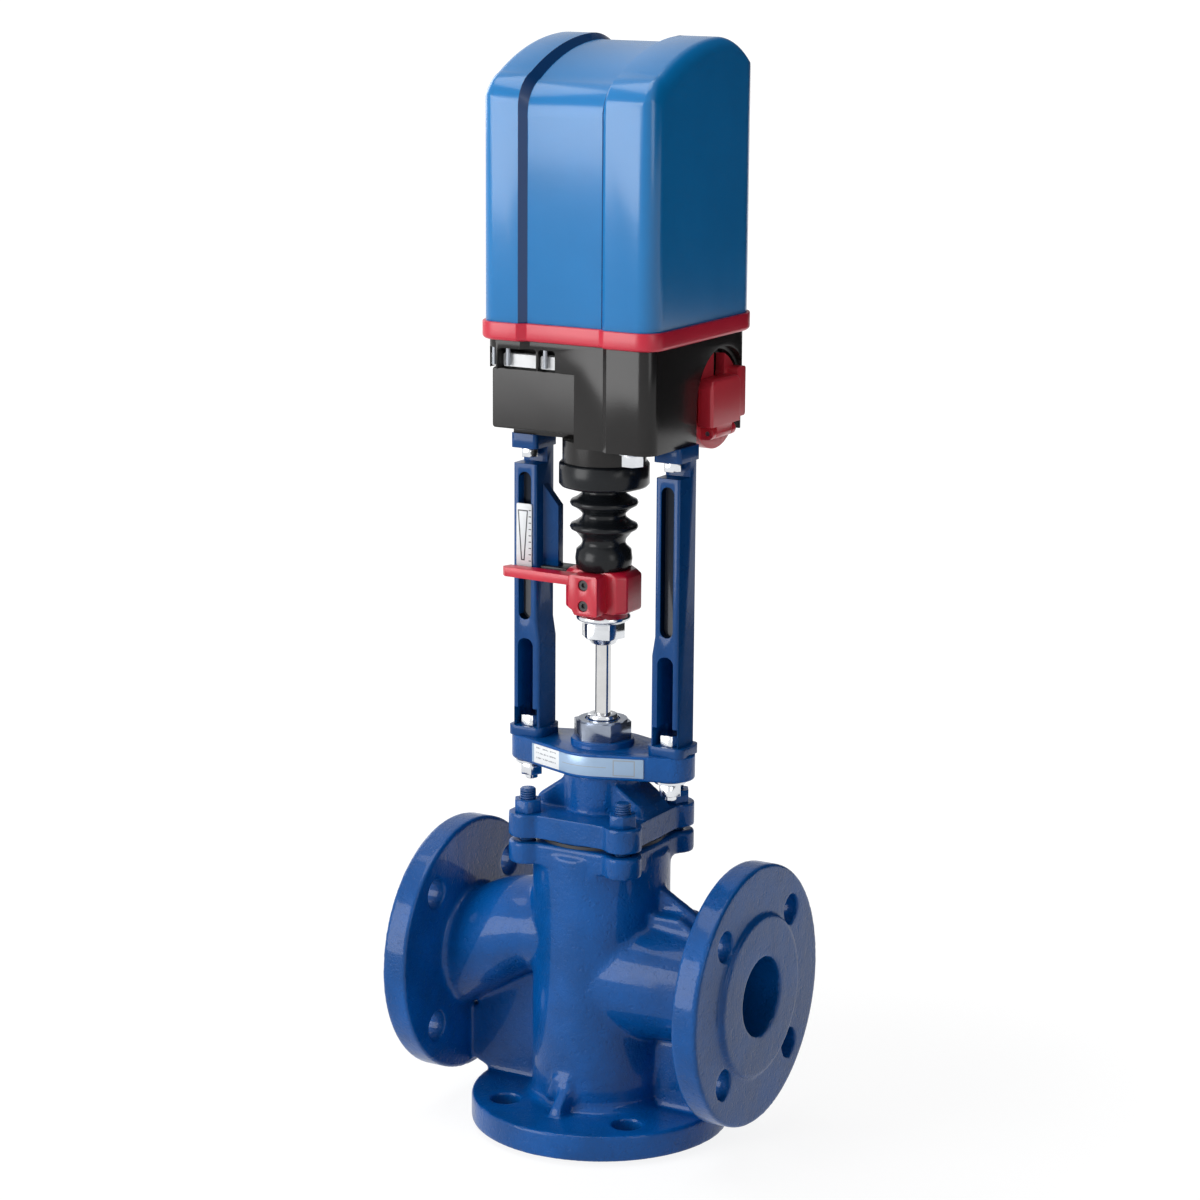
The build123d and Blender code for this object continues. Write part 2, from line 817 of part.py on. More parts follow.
with BuildPart() as coupling_clamp:
    with BuildSketch(Plane.XY.offset(clamp_z)) as clamp_sketch:
        RegularPolygon(clamp_af / 2, 8, major_radius=False, rotation=22.5)
        fillet(clamp_sketch.vertices(), 3)
    extrude(amount=clamp_h)
    chamfer(coupling_clamp.edges().group_by(Axis.Z)[-1], 3)
    chamfer(coupling_clamp.edges().group_by(Axis.Z)[0], 1.5)
    with BuildSketch(Plane.XY.offset(clamp_z)):
        with Locations((0, -jaw_split)):
            Rectangle(2 * clamp_af, clamp_af, align=(Align.CENTER, Align.MAX))
    extrude(amount=clamp_h, mode=Mode.SUBTRACT)
    with BuildSketch(Plane.XY.offset(clamp_z)):
        Circle(stem_r)
    extrude(amount=stem_top + 1 - clamp_z, mode=Mode.SUBTRACT)
    with BuildSketch(Plane.XY.offset(stem_top + 1)):
        Circle(spindle_r)
    extrude(amount=clamp_top - stem_top - 1, mode=Mode.SUBTRACT)
keep(coupling_clamp.part, "coupling_clamp")

screw_r = 2
screw_head_r = 3.5
screw_low = clamp_z + 6
screw_high = clamp_top - 7

with BuildPart() as coupling_jaw:
    with BuildSketch(Plane.XZ.offset(jaw_split)) as jaw_outline:
        with BuildLine():
            Polyline(
                (-jaw_w / 2 + 4, clamp_z),
                (jaw_w / 2, clamp_z),
                (jaw_w / 2, clamp_top - 1),
                (-jaw_w / 2, clamp_top - 1),
                (-jaw_w / 2, clamp_z + 7),
                close=True,
            )
        make_face()
    extrude(amount=jaw_face - jaw_split)
    fillet(coupling_jaw.edges().filter_by(Axis.Y), 1.5)
    with BuildSketch(Plane.XZ.offset(jaw_split)):
        with Locations((0, screw_low), (0, screw_high)):
            Circle(screw_r)
    extrude(amount=jaw_face, mode=Mode.SUBTRACT)
    with BuildSketch(Plane.XZ.offset(jaw_face - 3)):
        with Locations((0, screw_low), (0, screw_high)):
            Circle(screw_head_r)
    extrude(amount=4, mode=Mode.SUBTRACT)
keep(coupling_jaw.part, "coupling_jaw")

with BuildPart() as clamp_screws:
    with BuildSketch(Plane.XZ.offset(jaw_face - 3)):
        with Locations((0, screw_low), (0, screw_high)):
            Circle(screw_head_r - 0.2)
    extrude(amount=2)
    with BuildSketch(Plane.XZ.offset(jaw_split)):
        with Locations((0, screw_low), (0, screw_high)):
            Circle(screw_r)
    extrude(amount=jaw_face - 3 - jaw_split)
    with BuildSketch(Plane.XZ.offset(jaw_face - 1)):
        with Locations((0, screw_low), (0, screw_high)):
            RegularPolygon(1.6, 6)
    extrude(amount=-1.5, mode=Mode.SUBTRACT)
keep(clamp_screws.part, "clamp_screws")

# Pointer that reads the stroke on the scale, bolted beside the jaw

pointer_z = clamp_top - 8
pointer_h = 6
pointer_reach = 61

with BuildPart() as pointer_arm:
    with BuildSketch(Plane.XY.offset(pointer_z)):
        with BuildLine():
            Polyline(
                (-jaw_w / 2, -jaw_split),
                (-jaw_w / 2, -jaw_face + 1),
                (-pointer_reach + 3, -jaw_face + 3),
                (-pointer_reach, -jaw_face + 6),
                (-pointer_reach + 2, -jaw_split),
                close=True,
            )
        make_face()
    extrude(amount=pointer_h)
    fillet(pointer_arm.edges().filter_by(Axis.Z), 1)
keep(pointer_arm.part, "pointer_arm")

guide_z0 = clamp_top - 8
guide_block_h = 6
guide_slot = rail_t + 0.8
guide_w = 16

with BuildPart() as guide_fork:
    with BuildSketch(Plane.XY.offset(guide_z0)):
        with Locations((-clamp_af / 2, 0)):
            Rectangle(column_in - clamp_af / 2 - 1, guide_w, align=(Align.MAX, Align.CENTER))
        with Locations((-column_in + rail_reach + 0.4, 0)):
            Rectangle(rail_reach + 2, guide_slot, align=(Align.MAX, Align.CENTER), mode=Mode.SUBTRACT)
    extrude(amount=guide_block_h)
keep(guide_fork.part, "guide_fork")

with BuildPart() as drive_spindle:
    with BuildSketch(Plane.XY.offset(stem_top + 1)):
        Circle(spindle_r)
    extrude(amount=spindle_top - stem_top - 1)
    chamfer(drive_spindle.edges().group_by(Axis.Z)[-1], 1)
keep(drive_spindle.part, "drive_spindle")

# Rubber bellows over the drive spindle

neck_boss_z = housing_z - 15
neck_boss_r = 26
collar_t = 13.5
collar_r = 27
cuff_z = clamp_top + 0.3
cuff_h = 13
cuff_r = 16
fold_r = 20
root_r = 13
rubber_t = 1.5
fold_count = 2

with BuildPart() as bellows:
    fold_low = cuff_z + cuff_h
    fold_high = neck_boss_z - collar_t
    pitch = (fold_high - fold_low) / (fold_count + 0.5)
    outer = [(cuff_r, cuff_z), (cuff_r, fold_low - 2), (root_r, fold_low + 1)]
    for fold in range(fold_count):
        base = fold_low + fold * pitch
        outer.append((fold_r, base + pitch * 0.5))
        outer.append((fold_r, base + pitch * 0.5 + 2))
        outer.append((root_r, base + pitch + 1))
    outer += [(collar_r - 3, fold_high), (collar_r, fold_high + 2), (collar_r, neck_boss_z)]
    inner = [(r - rubber_t, z) for r, z in outer[2:-3]]
    lining = [(spindle_r + 1, cuff_z), (spindle_r + 1, fold_low - 2)] + inner
    lining += [(root_r + 2, fold_high + 3), (root_r + 2, neck_boss_z)]
    with BuildSketch(Plane.XZ):
        with BuildLine():
            Polyline(*outer, *reversed(lining), close=True)
        make_face()
    revolve(axis=Axis.Z)
keep(bellows.part, "bellows")

with BuildPart() as spindle_neck:
    with BuildSketch(Plane.XY.offset(neck_boss_z)):
        Circle(neck_boss_r)
        Circle(spindle_r + running_fit, mode=Mode.SUBTRACT)
    extrude(amount=housing_z - neck_boss_z)
    fillet(spindle_neck.edges().group_by(Axis.Z)[0].sort_by(SortBy.RADIUS)[-1], 1)
keep(spindle_neck.part, "spindle_neck")


# Actuator housing: a tray with a thick floor, a terminal bay at front left and a round recess
# for the hand crank in its right side

front_corner = 12
rear_corner = 25
front_y = cover_y - cover_d / 2
rear_y = cover_y + cover_d / 2
panel_mid = -2.5
panel_half = 25.4
panel_step = 4
panel_run = 4.6


def plan(inset):
    """Plan outline of the cover with its sunk front panel, drawn in by inset."""
    half = cover_w / 2 - inset
    near = front_y + inset
    far = rear_y - inset
    with BuildSketch() as outline:
        with BuildLine():
            Polyline(
                (-half, near),
                (panel_mid - panel_half - panel_run, near),
                (panel_mid - panel_half, near + panel_step),
                (panel_mid + panel_half, near + panel_step),
                (panel_mid + panel_half + panel_run, near),
                (half, near),
                (half, far),
                (-half, far),
                close=True,
            )
        make_face()
        fillet(outline.vertices().group_by(Axis.Y)[-1], rear_corner - inset)
        ends = outline.vertices().group_by(Axis.Y)[0].sort_by(Axis.X)
        fillet([ends[0], ends[-1]], front_corner - inset)
    return outline.sketch


terminal_right = 3
terminal_face = front_y + 11
terminal_depth = 5
terminal_back = terminal_face + terminal_depth
terminal_top = housing_z + 45
bay_top = housing_top - 5
bays = [(-57, -49.5), (-48.5, -23.7), (-22.3, -10.4)]
plinth_y = -12
crank_x = cover_w / 2 - housing_inset
crank_y = idler_y
crank_floor = crank_x - 12
crank_wall = 6
recess_r = crank_disc_r + 4
bush_r = crank_shaft_r + 3
bolt_x = 37.5
bolt_near = 17.5
bolt_places = [
    (bolt_x, front_y + bolt_near),
    (-bolt_x, rear_y - bolt_near),
    (bolt_x, rear_y - bolt_near),
]

with BuildPart() as base_housing:
    with BuildSketch(Plane.XY.offset(housing_z)):
        add(plan(housing_inset))
    extrude(amount=housing_h)
    # The floor is set back and raised below the terminal bay
    with BuildSketch(Plane.XY.offset(housing_z)):
        with Locations((terminal_right, plinth_y)):
            Rectangle(cover_w, cover_d, align=(Align.MAX, Align.MAX))
    extrude(amount=step_z - housing_z, mode=Mode.SUBTRACT)
    # Inside
    with BuildSketch(Plane.XY.offset(floor_z)):
        add(plan(housing_inset + wall))
        with Locations((terminal_right + wall, terminal_back + wall)):
            Rectangle(cover_w, cover_d, align=(Align.MAX, Align.MAX), mode=Mode.SUBTRACT)
        with Locations((crank_floor - crank_wall, cover_y)):
            Rectangle(cover_w, 2 * cover_d, align=(Align.MIN, Align.CENTER), mode=Mode.SUBTRACT)
    extrude(amount=housing_h, mode=Mode.SUBTRACT)
    # Bay for the terminal cover, and the cable entries above it
    with BuildSketch(Plane.XY.offset(step_z)):
        with Locations((terminal_right, terminal_back)):
            Rectangle(cover_w, cover_d, align=(Align.MAX, Align.MAX))
    extrude(amount=terminal_top - step_z, mode=Mode.SUBTRACT)
    with BuildSketch(Plane.XZ.offset(-terminal_back)) as entries:
        for low, high in bays:
            with Locations(((low + high) / 2, terminal_top)):
                Rectangle(high - low, bay_top - terminal_top, align=(Align.CENTER, Align.MIN))
        fillet(entries.vertices().group_by(Axis.Y)[-1], 2)
    extrude(amount=cover_d / 2, mode=Mode.SUBTRACT)
    # Recess of the hand crank, open below
    with BuildSketch(Plane.YZ.offset(crank_x - 5)):
        with Locations((crank_y, crank_z)):
            Circle(recess_r)
            Rectangle(2 * recess_r, 2 * recess_r, align=(Align.CENTER, Align.MAX))
    extrude(amount=2 * wall, mode=Mode.SUBTRACT)
    with BuildSketch(Plane.YZ.offset(crank_floor)):
        with Locations((crank_y, crank_z)):
            Circle(crank_disc_r + 2)
            Rectangle(
                2 * crank_disc_r + 4, 2 * recess_r, align=(Align.CENTER, Align.MAX)
            )
    extrude(amount=crank_x - crank_floor, mode=Mode.SUBTRACT)
    with BuildSketch(Plane.YZ.offset(crank_floor - crank_wall)):
        with Locations((crank_y, crank_z)):
            Circle(bush_r)
    extrude(amount=crank_wall, mode=Mode.SUBTRACT)
    # Openings for the spindle and the bolts
    with BuildSketch(Plane.XY.offset(housing_z)):
        Circle(spindle_r + 1)
    extrude(amount=floor_t, mode=Mode.SUBTRACT)
    with BuildSketch(Plane.XY.offset(housing_z)):
        with Locations(*bolt_places):
            Circle(housing_bolt_r)
        with Locations((-column_x, head_bolt_y), (column_x, head_bolt_y)):
            Circle(head_bolt_r)
    extrude(amount=bolt_grip, mode=Mode.SUBTRACT)
keep(base_housing.part, "base_housing")

# Flanged bolts under the housing floor

flange_head_r = 8.5
flange_head_t = 2

with BuildPart() as housing_bolts:
    with BuildSketch(Plane.XY.offset(housing_z - flange_head_t)):
        with Locations(*bolt_places):
            Circle(flange_head_r)
    extrude(amount=flange_head_t)
    with BuildSketch(Plane.XY.offset(housing_z - flange_head_t - bolt_head_h)):
        with Locations(*bolt_places):
            RegularPolygon(hexagon(bolt_head_af), 6)
    extrude(amount=bolt_head_h)
    with BuildSketch(Plane.XY.offset(housing_z)):
        with Locations(*bolt_places):
            Circle(housing_bolt_r)
    extrude(amount=bolt_grip)
keep(housing_bolts.part, "housing_bolts")

# Bolts that hold the housing on the column heads

with BuildPart() as head_bolts:
    for side in (-1, 1):
        with BuildSketch(Plane.XY.offset(housing_z - head_h - head_bolt_h)):
            with Locations((side * column_x, head_bolt_y)):
                RegularPolygon(hexagon(head_bolt_af), 6)
        extrude(amount=head_bolt_h)
        with BuildSketch(Plane.XY.offset(housing_z - head_h)):
            with Locations((side * column_x, head_bolt_y)):
                Circle(head_bolt_r)
        extrude(amount=head_h + bolt_grip)
keep(head_bolts.part, "head_bolts")

# Terminal cover, the three cable entry plugs above it and their pins

with BuildPart() as terminal_cover:
    with BuildSketch(Plane.XZ.offset(-terminal_back)) as lid:
        with BuildLine():
            Polyline(
                (-crank_x + 0.5, step_z + 0.3),
                (terminal_right - 0.3, step_z + 0.3),
                (terminal_right - 0.3, terminal_top - 0.3),
                (-crank_x + 0.5, terminal_top - 0.3),
                close=True,
            )
        make_face()
        fillet(lid.vertices(), 2)
    extrude(amount=terminal_depth)
    fillet(terminal_cover.faces().sort_by(Axis.Y)[0].edges(), 1)
keep(terminal_cover.part, "terminal_cover")

plug_fit = 0.3
entry_h = 8

with BuildPart() as entry_plugs:
    with BuildSketch(Plane.XZ.offset(-terminal_back)) as plugs:
        for low, high in bays:
            with Locations(((low + high) / 2, terminal_top + 1)):
                Rectangle(high - low - 2 * plug_fit, entry_h, align=(Align.CENTER, Align.MIN))
        fillet(plugs.vertices(), 1)
    extrude(amount=terminal_depth + 2)
keep(entry_plugs.part, "entry_plugs")

pin_y = terminal_face - 4
pin_h = 11

with BuildPart() as entry_pins:
    for low, high in bays:
        with BuildSketch(Plane.XY.offset(bay_top - pin_h)):
            with Locations((min(low + 5, (low + high) / 2), pin_y)):
                Circle(1.5)
        extrude(amount=pin_h)
keep(entry_pins.part, "entry_pins")

# Sealing band between housing and cover

with BuildPart() as seal_band:
    with BuildSketch(Plane.XY.offset(housing_top)):
        add(plan(-band_proud))
        add(plan(wall + 5), mode=Mode.SUBTRACT)
    extrude(amount=band_h)
    lower_rim = seal_band.faces().sort_by(Axis.Z)[0].outer_wire().edges()
    chamfer(lower_rim, 1.5)
keep(seal_band.part, "seal_band")

# Cover: an arched hood with a sunk middle panel that runs up the front and over the top

hood_edge_r = 9
edge_turns = 3
front_rise = 24
front_reach = 15
crown_y = cover_y + 15
rear_drop = 48
crown_fall = 20


def hood_profile(x, inset, drop):
    """Side outline of the hood at x, sunk by drop at the front and top."""
    near = front_y + inset + drop
    far = rear_y - inset
    top = cover_top - inset - drop
    shoulder_z = top - crown_fall
    with BuildSketch(Plane.YZ.offset(x)) as outline:
        with BuildLine():
            Line((near, cover_z), (near, shoulder_z - front_rise))
            ThreePointArc(
                (near, shoulder_z - front_rise),
                (near + front_reach * 0.25, shoulder_z - front_rise * 0.35),
                (near + front_reach, shoulder_z),
            )
            ThreePointArc(
                (near + front_reach, shoulder_z),
                ((near + front_reach + crown_y) / 2, top - crown_fall * 0.28),
                (crown_y, top),
            )
            ThreePointArc(
                (crown_y, top),
                (far - 14, top - 15),
                (far, top - rear_drop),
            )
            Line((far, top - rear_drop), (far, cover_z))
            Line((far, cover_z), (near, cover_z))
        make_face()
    return outline.sketch


def hood(inset):
    """The solid form of the hood, drawn in by inset."""
    half = cover_w / 2 - inset
    edge_r = hood_edge_r - inset
    low = panel_mid - panel_half
    high = panel_mid + panel_half
    broad_profile = hood_profile(-half + edge_r, inset, 0)
    sunk_profile = hood_profile(low, inset, panel_step)
    slopes = [
        (hood_profile(low, inset, panel_step), hood_profile(low - panel_run, inset, 0)),
        (hood_profile(high, inset, panel_step), hood_profile(high + panel_run, inset, 0)),
    ]
    # Sections that turn the top's side edges through a quarter round
    rounded = []
    for side in (-1, 1):
        sections = []
        for turn in range(edge_turns + 1):
            angle = turn * pi / 2 / edge_turns
            x = side * (half - edge_r * (1 - cos(angle)))
            sections.append(hood_profile(x, inset, edge_r * (1 - sin(angle))))
        rounded.append(sections)
    with BuildPart() as form:
        extrude(broad_profile, amount=2 * (half - edge_r))
        for sections in rounded:
            loft(sections)
        with BuildSketch(Plane.XY.offset(cover_z)) as footprint:
            with Locations((0, cover_y)):
                Rectangle(2 * half, cover_d - 2 * inset)
            fillet(footprint.vertices().group_by(Axis.Y)[-1], rear_corner - inset)
            fillet(footprint.vertices().group_by(Axis.Y)[0], front_corner - inset)
        extrude(amount=cover_top - cover_z, mode=Mode.INTERSECT)
        with BuildSketch(Plane.YZ.offset(low - panel_run)):
            with Locations((cover_y, cover_z)):
                Rectangle(2 * cover_d, cover_top, align=(Align.CENTER, Align.MIN))
        extrude(amount=high - low + 2 * panel_run, mode=Mode.SUBTRACT)
        extrude(sunk_profile, amount=high - low)
        for inner, outer in slopes:
            loft([inner, outer])
    return form


with BuildPart() as cover:
    add(hood(0).part)
    add(hood(wall).part, mode=Mode.SUBTRACT)
keep(cover.part, "cover")

# Gears. A tooth is a trapezoid on the pitch circle; pairs are set tooth to gap at rest.

tooth_head = 0.85
tooth_foot = 1.2
tooth_tip_share = 0.22
tooth_mid_share = 0.43
tooth_root_share = 0.6


def gear_outline(plane, teeth, phase, scale=1.0):
    """Toothed outline on a plane, with a tooth at the phase angle in degrees."""
    pitch_r = tooth_module * teeth / 2
    rings = [
        (pitch_r - tooth_foot * tooth_module, -tooth_root_share / 2),
        (pitch_r, -tooth_mid_share / 2),
        (pitch_r + tooth_head * tooth_module, -tooth_tip_share / 2),
        (pitch_r + tooth_head * tooth_module, tooth_tip_share / 2),
        (pitch_r, tooth_mid_share / 2),
        (pitch_r - tooth_foot * tooth_module, tooth_root_share / 2),
    ]
    points = []
    for tooth in range(teeth):
        for r, share in rings:
            angle = radians(phase) + (tooth + share) * 2 * pi / teeth
            points.append((scale * r * cos(angle), scale * r * sin(angle)))
    with BuildSketch(plane) as outline:
        with BuildLine():
            Polyline(*points, close=True)
        make_face()
    return outline.sketch


# Spindle nut, the large gear that drives the spindle up and down

nut_hub_r = 14
journal_r = 12
bearing_h = 7
bearing_r = 18
upper_bearing_r = 16
nut_gap = 0.3
plate_z0 = gear_plate_z
plate_z1 = gear_plate_z + gear_plate_t

with BuildPart() as spindle_nut:
    add(gear_outline(Plane.XY.offset(gear_z), nut_teeth, 90))
    extrude(amount=gear_t)
    with BuildSketch(Plane.XY.offset(floor_z + nut_gap)):
        Circle(journal_r)
    extrude(amount=plate_z1 - floor_z - nut_gap)
    with BuildSketch(Plane.XY.offset(floor_z + bearing_h + nut_gap)):
        Circle(nut_hub_r)
    extrude(amount=plate_z0 - bearing_h / 2 - floor_z - bearing_h - 2 * nut_gap)
    with BuildSketch(Plane.XY.offset(floor_z)):
        Circle(spindle_r + running_fit)
    extrude(amount=housing_h, mode=Mode.SUBTRACT)
keep(spindle_nut.part, "spindle_nut")


def bearing_ring(base, height, outer_r):
    """A plain bearing ring around a journal of the spindle nut."""
    with BuildPart() as ring:
        with BuildSketch(Plane.XY.offset(base)):
            Circle(outer_r)
            Circle(journal_r + running_fit, mode=Mode.SUBTRACT)
        extrude(amount=height)
    return ring.part


keep(bearing_ring(floor_z, bearing_h, bearing_r), "nut_bearing_lower")
upper_bearing_h = gear_plate_t + bearing_h / 2
keep(bearing_ring(plate_z1 - upper_bearing_h, upper_bearing_h, upper_bearing_r), "nut_bearing_upper")

# Idler: a pinion on the nut gear, a wheel on the motor pinion and a bevel gear for the crank

bevel_r = tooth_module * bevel_teeth / 2
bevel_depth = 3
bevel_scale = (bevel_r - bevel_depth) / bevel_r
idler_phase = -90 + 180 / idler_teeth

with BuildPart() as idler_gear:
    add(gear_outline(Plane((0, idler_y, gear_z)), idler_teeth, idler_phase))
    extrude(amount=gear_t)
    with BuildSketch(Plane.XY.offset(gear_z + gear_t)):
        with Locations((0, idler_y)):
            Circle(nut_hub_r - 2)
    extrude(amount=wheel_z - gear_z - gear_t)
    add(gear_outline(Plane((0, idler_y, wheel_z)), wheel_teeth, 180))
    extrude(amount=gear_t)
    add(gear_outline(Plane((0, idler_y, crank_z + bevel_r)), bevel_teeth, 0))
    add(gear_outline(Plane((0, idler_y, crank_z + bevel_r - bevel_depth)), bevel_teeth, 0, bevel_scale))
    loft()
    with BuildSketch(Plane.XY.offset(crank_z + bevel_r)):
        with Locations((0, idler_y)):
            Circle(bevel_r - 2)
    extrude(amount=gear_z - crank_z - bevel_r)
    with BuildSketch(Plane.XY.offset(crank_z)):
        with Locations((0, idler_y)):
            Circle(shaft_r + running_fit)
    extrude(amount=housing_h, mode=Mode.SUBTRACT)
keep(idler_gear.part, "idler_gear")

with BuildPart() as idler_shaft:
    with BuildSketch(Plane.XY.offset(crank_z + bevel_r - bevel_depth + nut_gap)):
        with Locations((0, idler_y)):
            Circle(shaft_r)
    extrude(amount=plate_z1 - crank_z - bevel_r + bevel_depth - nut_gap)
keep(idler_shaft.part, "idler_shaft")

# Motor: a can with its stator, and a rotor whose shaft ends in the pinion

motor_r = 22
motor_h = 50
motor_shaft_r = 2.5
motor_grip = 8
motor_cap = 6
rotor_r = 15
air_gap = 0.5
rotor_play = 1.5
rotor_z = plate_z1 + motor_grip + rotor_play
rotor_top = plate_z1 + motor_h - motor_cap - rotor_play
shaft_top = plate_z1 + motor_h - motor_cap / 2

with BuildPart() as motor:
    with BuildSketch(Plane.XY.offset(plate_z1)):
        with Locations((motor_x, idler_y)):
            Circle(motor_r)
    extrude(amount=motor_h)
    fillet(motor.edges().group_by(Axis.Z)[-1], 2)
    with BuildSketch(Plane.XY.offset(rotor_z - rotor_play)):
        with Locations((motor_x, idler_y)):
            Circle(rotor_r + air_gap)
    extrude(amount=rotor_top - rotor_z + 2 * rotor_play, mode=Mode.SUBTRACT)
    with BuildSketch(Plane.XY.offset(plate_z1)):
        with Locations((motor_x, idler_y)):
            Circle(motor_shaft_r + running_fit)
    extrude(amount=shaft_top + nut_gap - plate_z1, mode=Mode.SUBTRACT)
keep(motor.part, "motor")

with BuildPart() as motor_rotor:
    add(gear_outline(Plane((motor_x, idler_y, wheel_z)), pinion_teeth, 180 / pinion_teeth))
    extrude(amount=gear_t)
    with BuildSketch(Plane.XY.offset(wheel_z)):
        with Locations((motor_x, idler_y)):
            Circle(motor_shaft_r)
    extrude(amount=shaft_top - wheel_z)
    with BuildSketch(Plane.XY.offset(rotor_z)):
        with Locations((motor_x, idler_y)):
            Circle(rotor_r)
    extrude(amount=rotor_top - rotor_z)
keep(motor_rotor.part, "motor_rotor")

# Plate that carries the motor and idler, on four pillars

pillar_r = 4
plate_margin = 5
plate_front_gap = 21.25
plate_rear_gap = 10.25
plate_near = front_y + plate_front_gap
plate_far = rear_y - plate_rear_gap
plate_left = -51
plate_right = 37
pillars = [
    (x, y)
    for x in (plate_left + plate_margin, plate_right - plate_margin)
    for y in (plate_near + plate_margin + 1, plate_far - plate_margin)
]

with BuildPart() as gear_plate:
    with BuildSketch(Plane.XY.offset(plate_z0)) as plate_plan:
        with Locations((plate_left, plate_near)):
            Rectangle(plate_right - plate_left, plate_far - plate_near, align=(Align.MIN, Align.MIN))
        fillet(plate_plan.vertices().group_by(Axis.Y)[0], plate_margin - 2)
        fillet(plate_plan.vertices().group_by(Axis.Y)[-1], 3 * plate_margin)
        Circle(upper_bearing_r, mode=Mode.SUBTRACT)
        with Locations((0, idler_y)):
            Circle(shaft_r, mode=Mode.SUBTRACT)
        with Locations((motor_x, idler_y)):
            Circle(2 * motor_shaft_r, mode=Mode.SUBTRACT)
    extrude(amount=gear_plate_t)
keep(gear_plate.part, "gear_plate")

with BuildPart() as plate_pillars:
    with BuildSketch(Plane.XY.offset(floor_z)):
        with Locations(*pillars):
            Circle(pillar_r)
    extrude(amount=plate_z0 - floor_z)
keep(plate_pillars.part, "plate_pillars")

# Trip disc on the spindle, with a switch on each side, and the circuit board in front

trip_z = plate_z1 + 7
trip_r = 14
trip_t = 3
switch_x = 16
switch_w = 20
switch_d = 12
board_gap = 23.25
board_y = front_y + board_gap
board_clear = 63
board_x = -8
board_w = 80
board_h = cover_top - plate_z1 - board_clear
board_t = 1.6

with BuildPart() as trip_disc:
    with BuildSketch(Plane.XY.offset(trip_z)):
        Circle(trip_r)
        Circle(spindle_r, mode=Mode.SUBTRACT)
    extrude(amount=trip_t)
keep(trip_disc.part, "trip_disc")

with BuildPart() as limit_switches:
    for side, height in ((-1, trip_z - plate_z1), (1, trip_z - plate_z1 + stroke + 4)):
        with BuildSketch(Plane.XY.offset(plate_z1)):
            with Locations((side * (switch_x + switch_w / 2), 0)):
                Rectangle(switch_w, switch_d)
        extrude(amount=height)
keep(limit_switches.part, "limit_switches")

with BuildPart() as circuit_board:
    with BuildSketch(Plane.XZ.offset(-board_y)):
        with Locations((board_x, plate_z1)):
            Rectangle(board_w, board_h, align=(Align.CENTER, Align.MIN))
    extrude(amount=board_t)
keep(circuit_board.part, "circuit_board")

# Hand crank: shaft with its bevel gear, bush, disc with rib and hinge lugs, and folding handle

hub_depth = 1.7
arm_x = crank_floor + 0.8
arm_t = 6
arm_face = arm_x + arm_t
hinge_x = arm_face + 4.7
hinge_z = crank_z - 18
hinge_r = 4
hinge_pin_r = 1.5
lug_inner = 20
lug_outer = 30

with BuildPart() as crank_shaft:
    with BuildSketch(Plane.YZ.offset(bevel_r - bevel_depth)):
        with Locations((crank_y, crank_z)):
            Circle(crank_shaft_r)
    extrude(amount=arm_x + hub_depth - bevel_r + bevel_depth)
keep(crank_shaft.part, "crank_shaft")

with BuildPart() as crank_bevel:
    bevel_phase = 90 + 180 / bevel_teeth
    for x, scale in ((bevel_r, 1.0), (bevel_r - bevel_depth, bevel_scale)):
        gear_plane = Plane((x, crank_y, crank_z), x_dir=(0, 1, 0), z_dir=(1, 0, 0))
        add(gear_outline(gear_plane, bevel_teeth, bevel_phase, scale))
    loft()
    with BuildSketch(Plane.YZ.offset(bevel_r)):
        with Locations((crank_y, crank_z)):
            Circle(bevel_r - 2)
    extrude(amount=5)
    with BuildSketch(Plane.YZ):
        with Locations((crank_y, crank_z)):
            Circle(crank_shaft_r)
    extrude(amount=2 * bevel_r, mode=Mode.SUBTRACT)
keep(crank_bevel.part, "crank_bevel")

with BuildPart() as crank_bush:
    with BuildSketch(Plane.YZ.offset(crank_floor - crank_wall)):
        with Locations((crank_y, crank_z)):
            Circle(bush_r)
            Circle(crank_shaft_r + running_fit, mode=Mode.SUBTRACT)
    extrude(amount=crank_wall)
keep(crank_bush.part, "crank_bush")

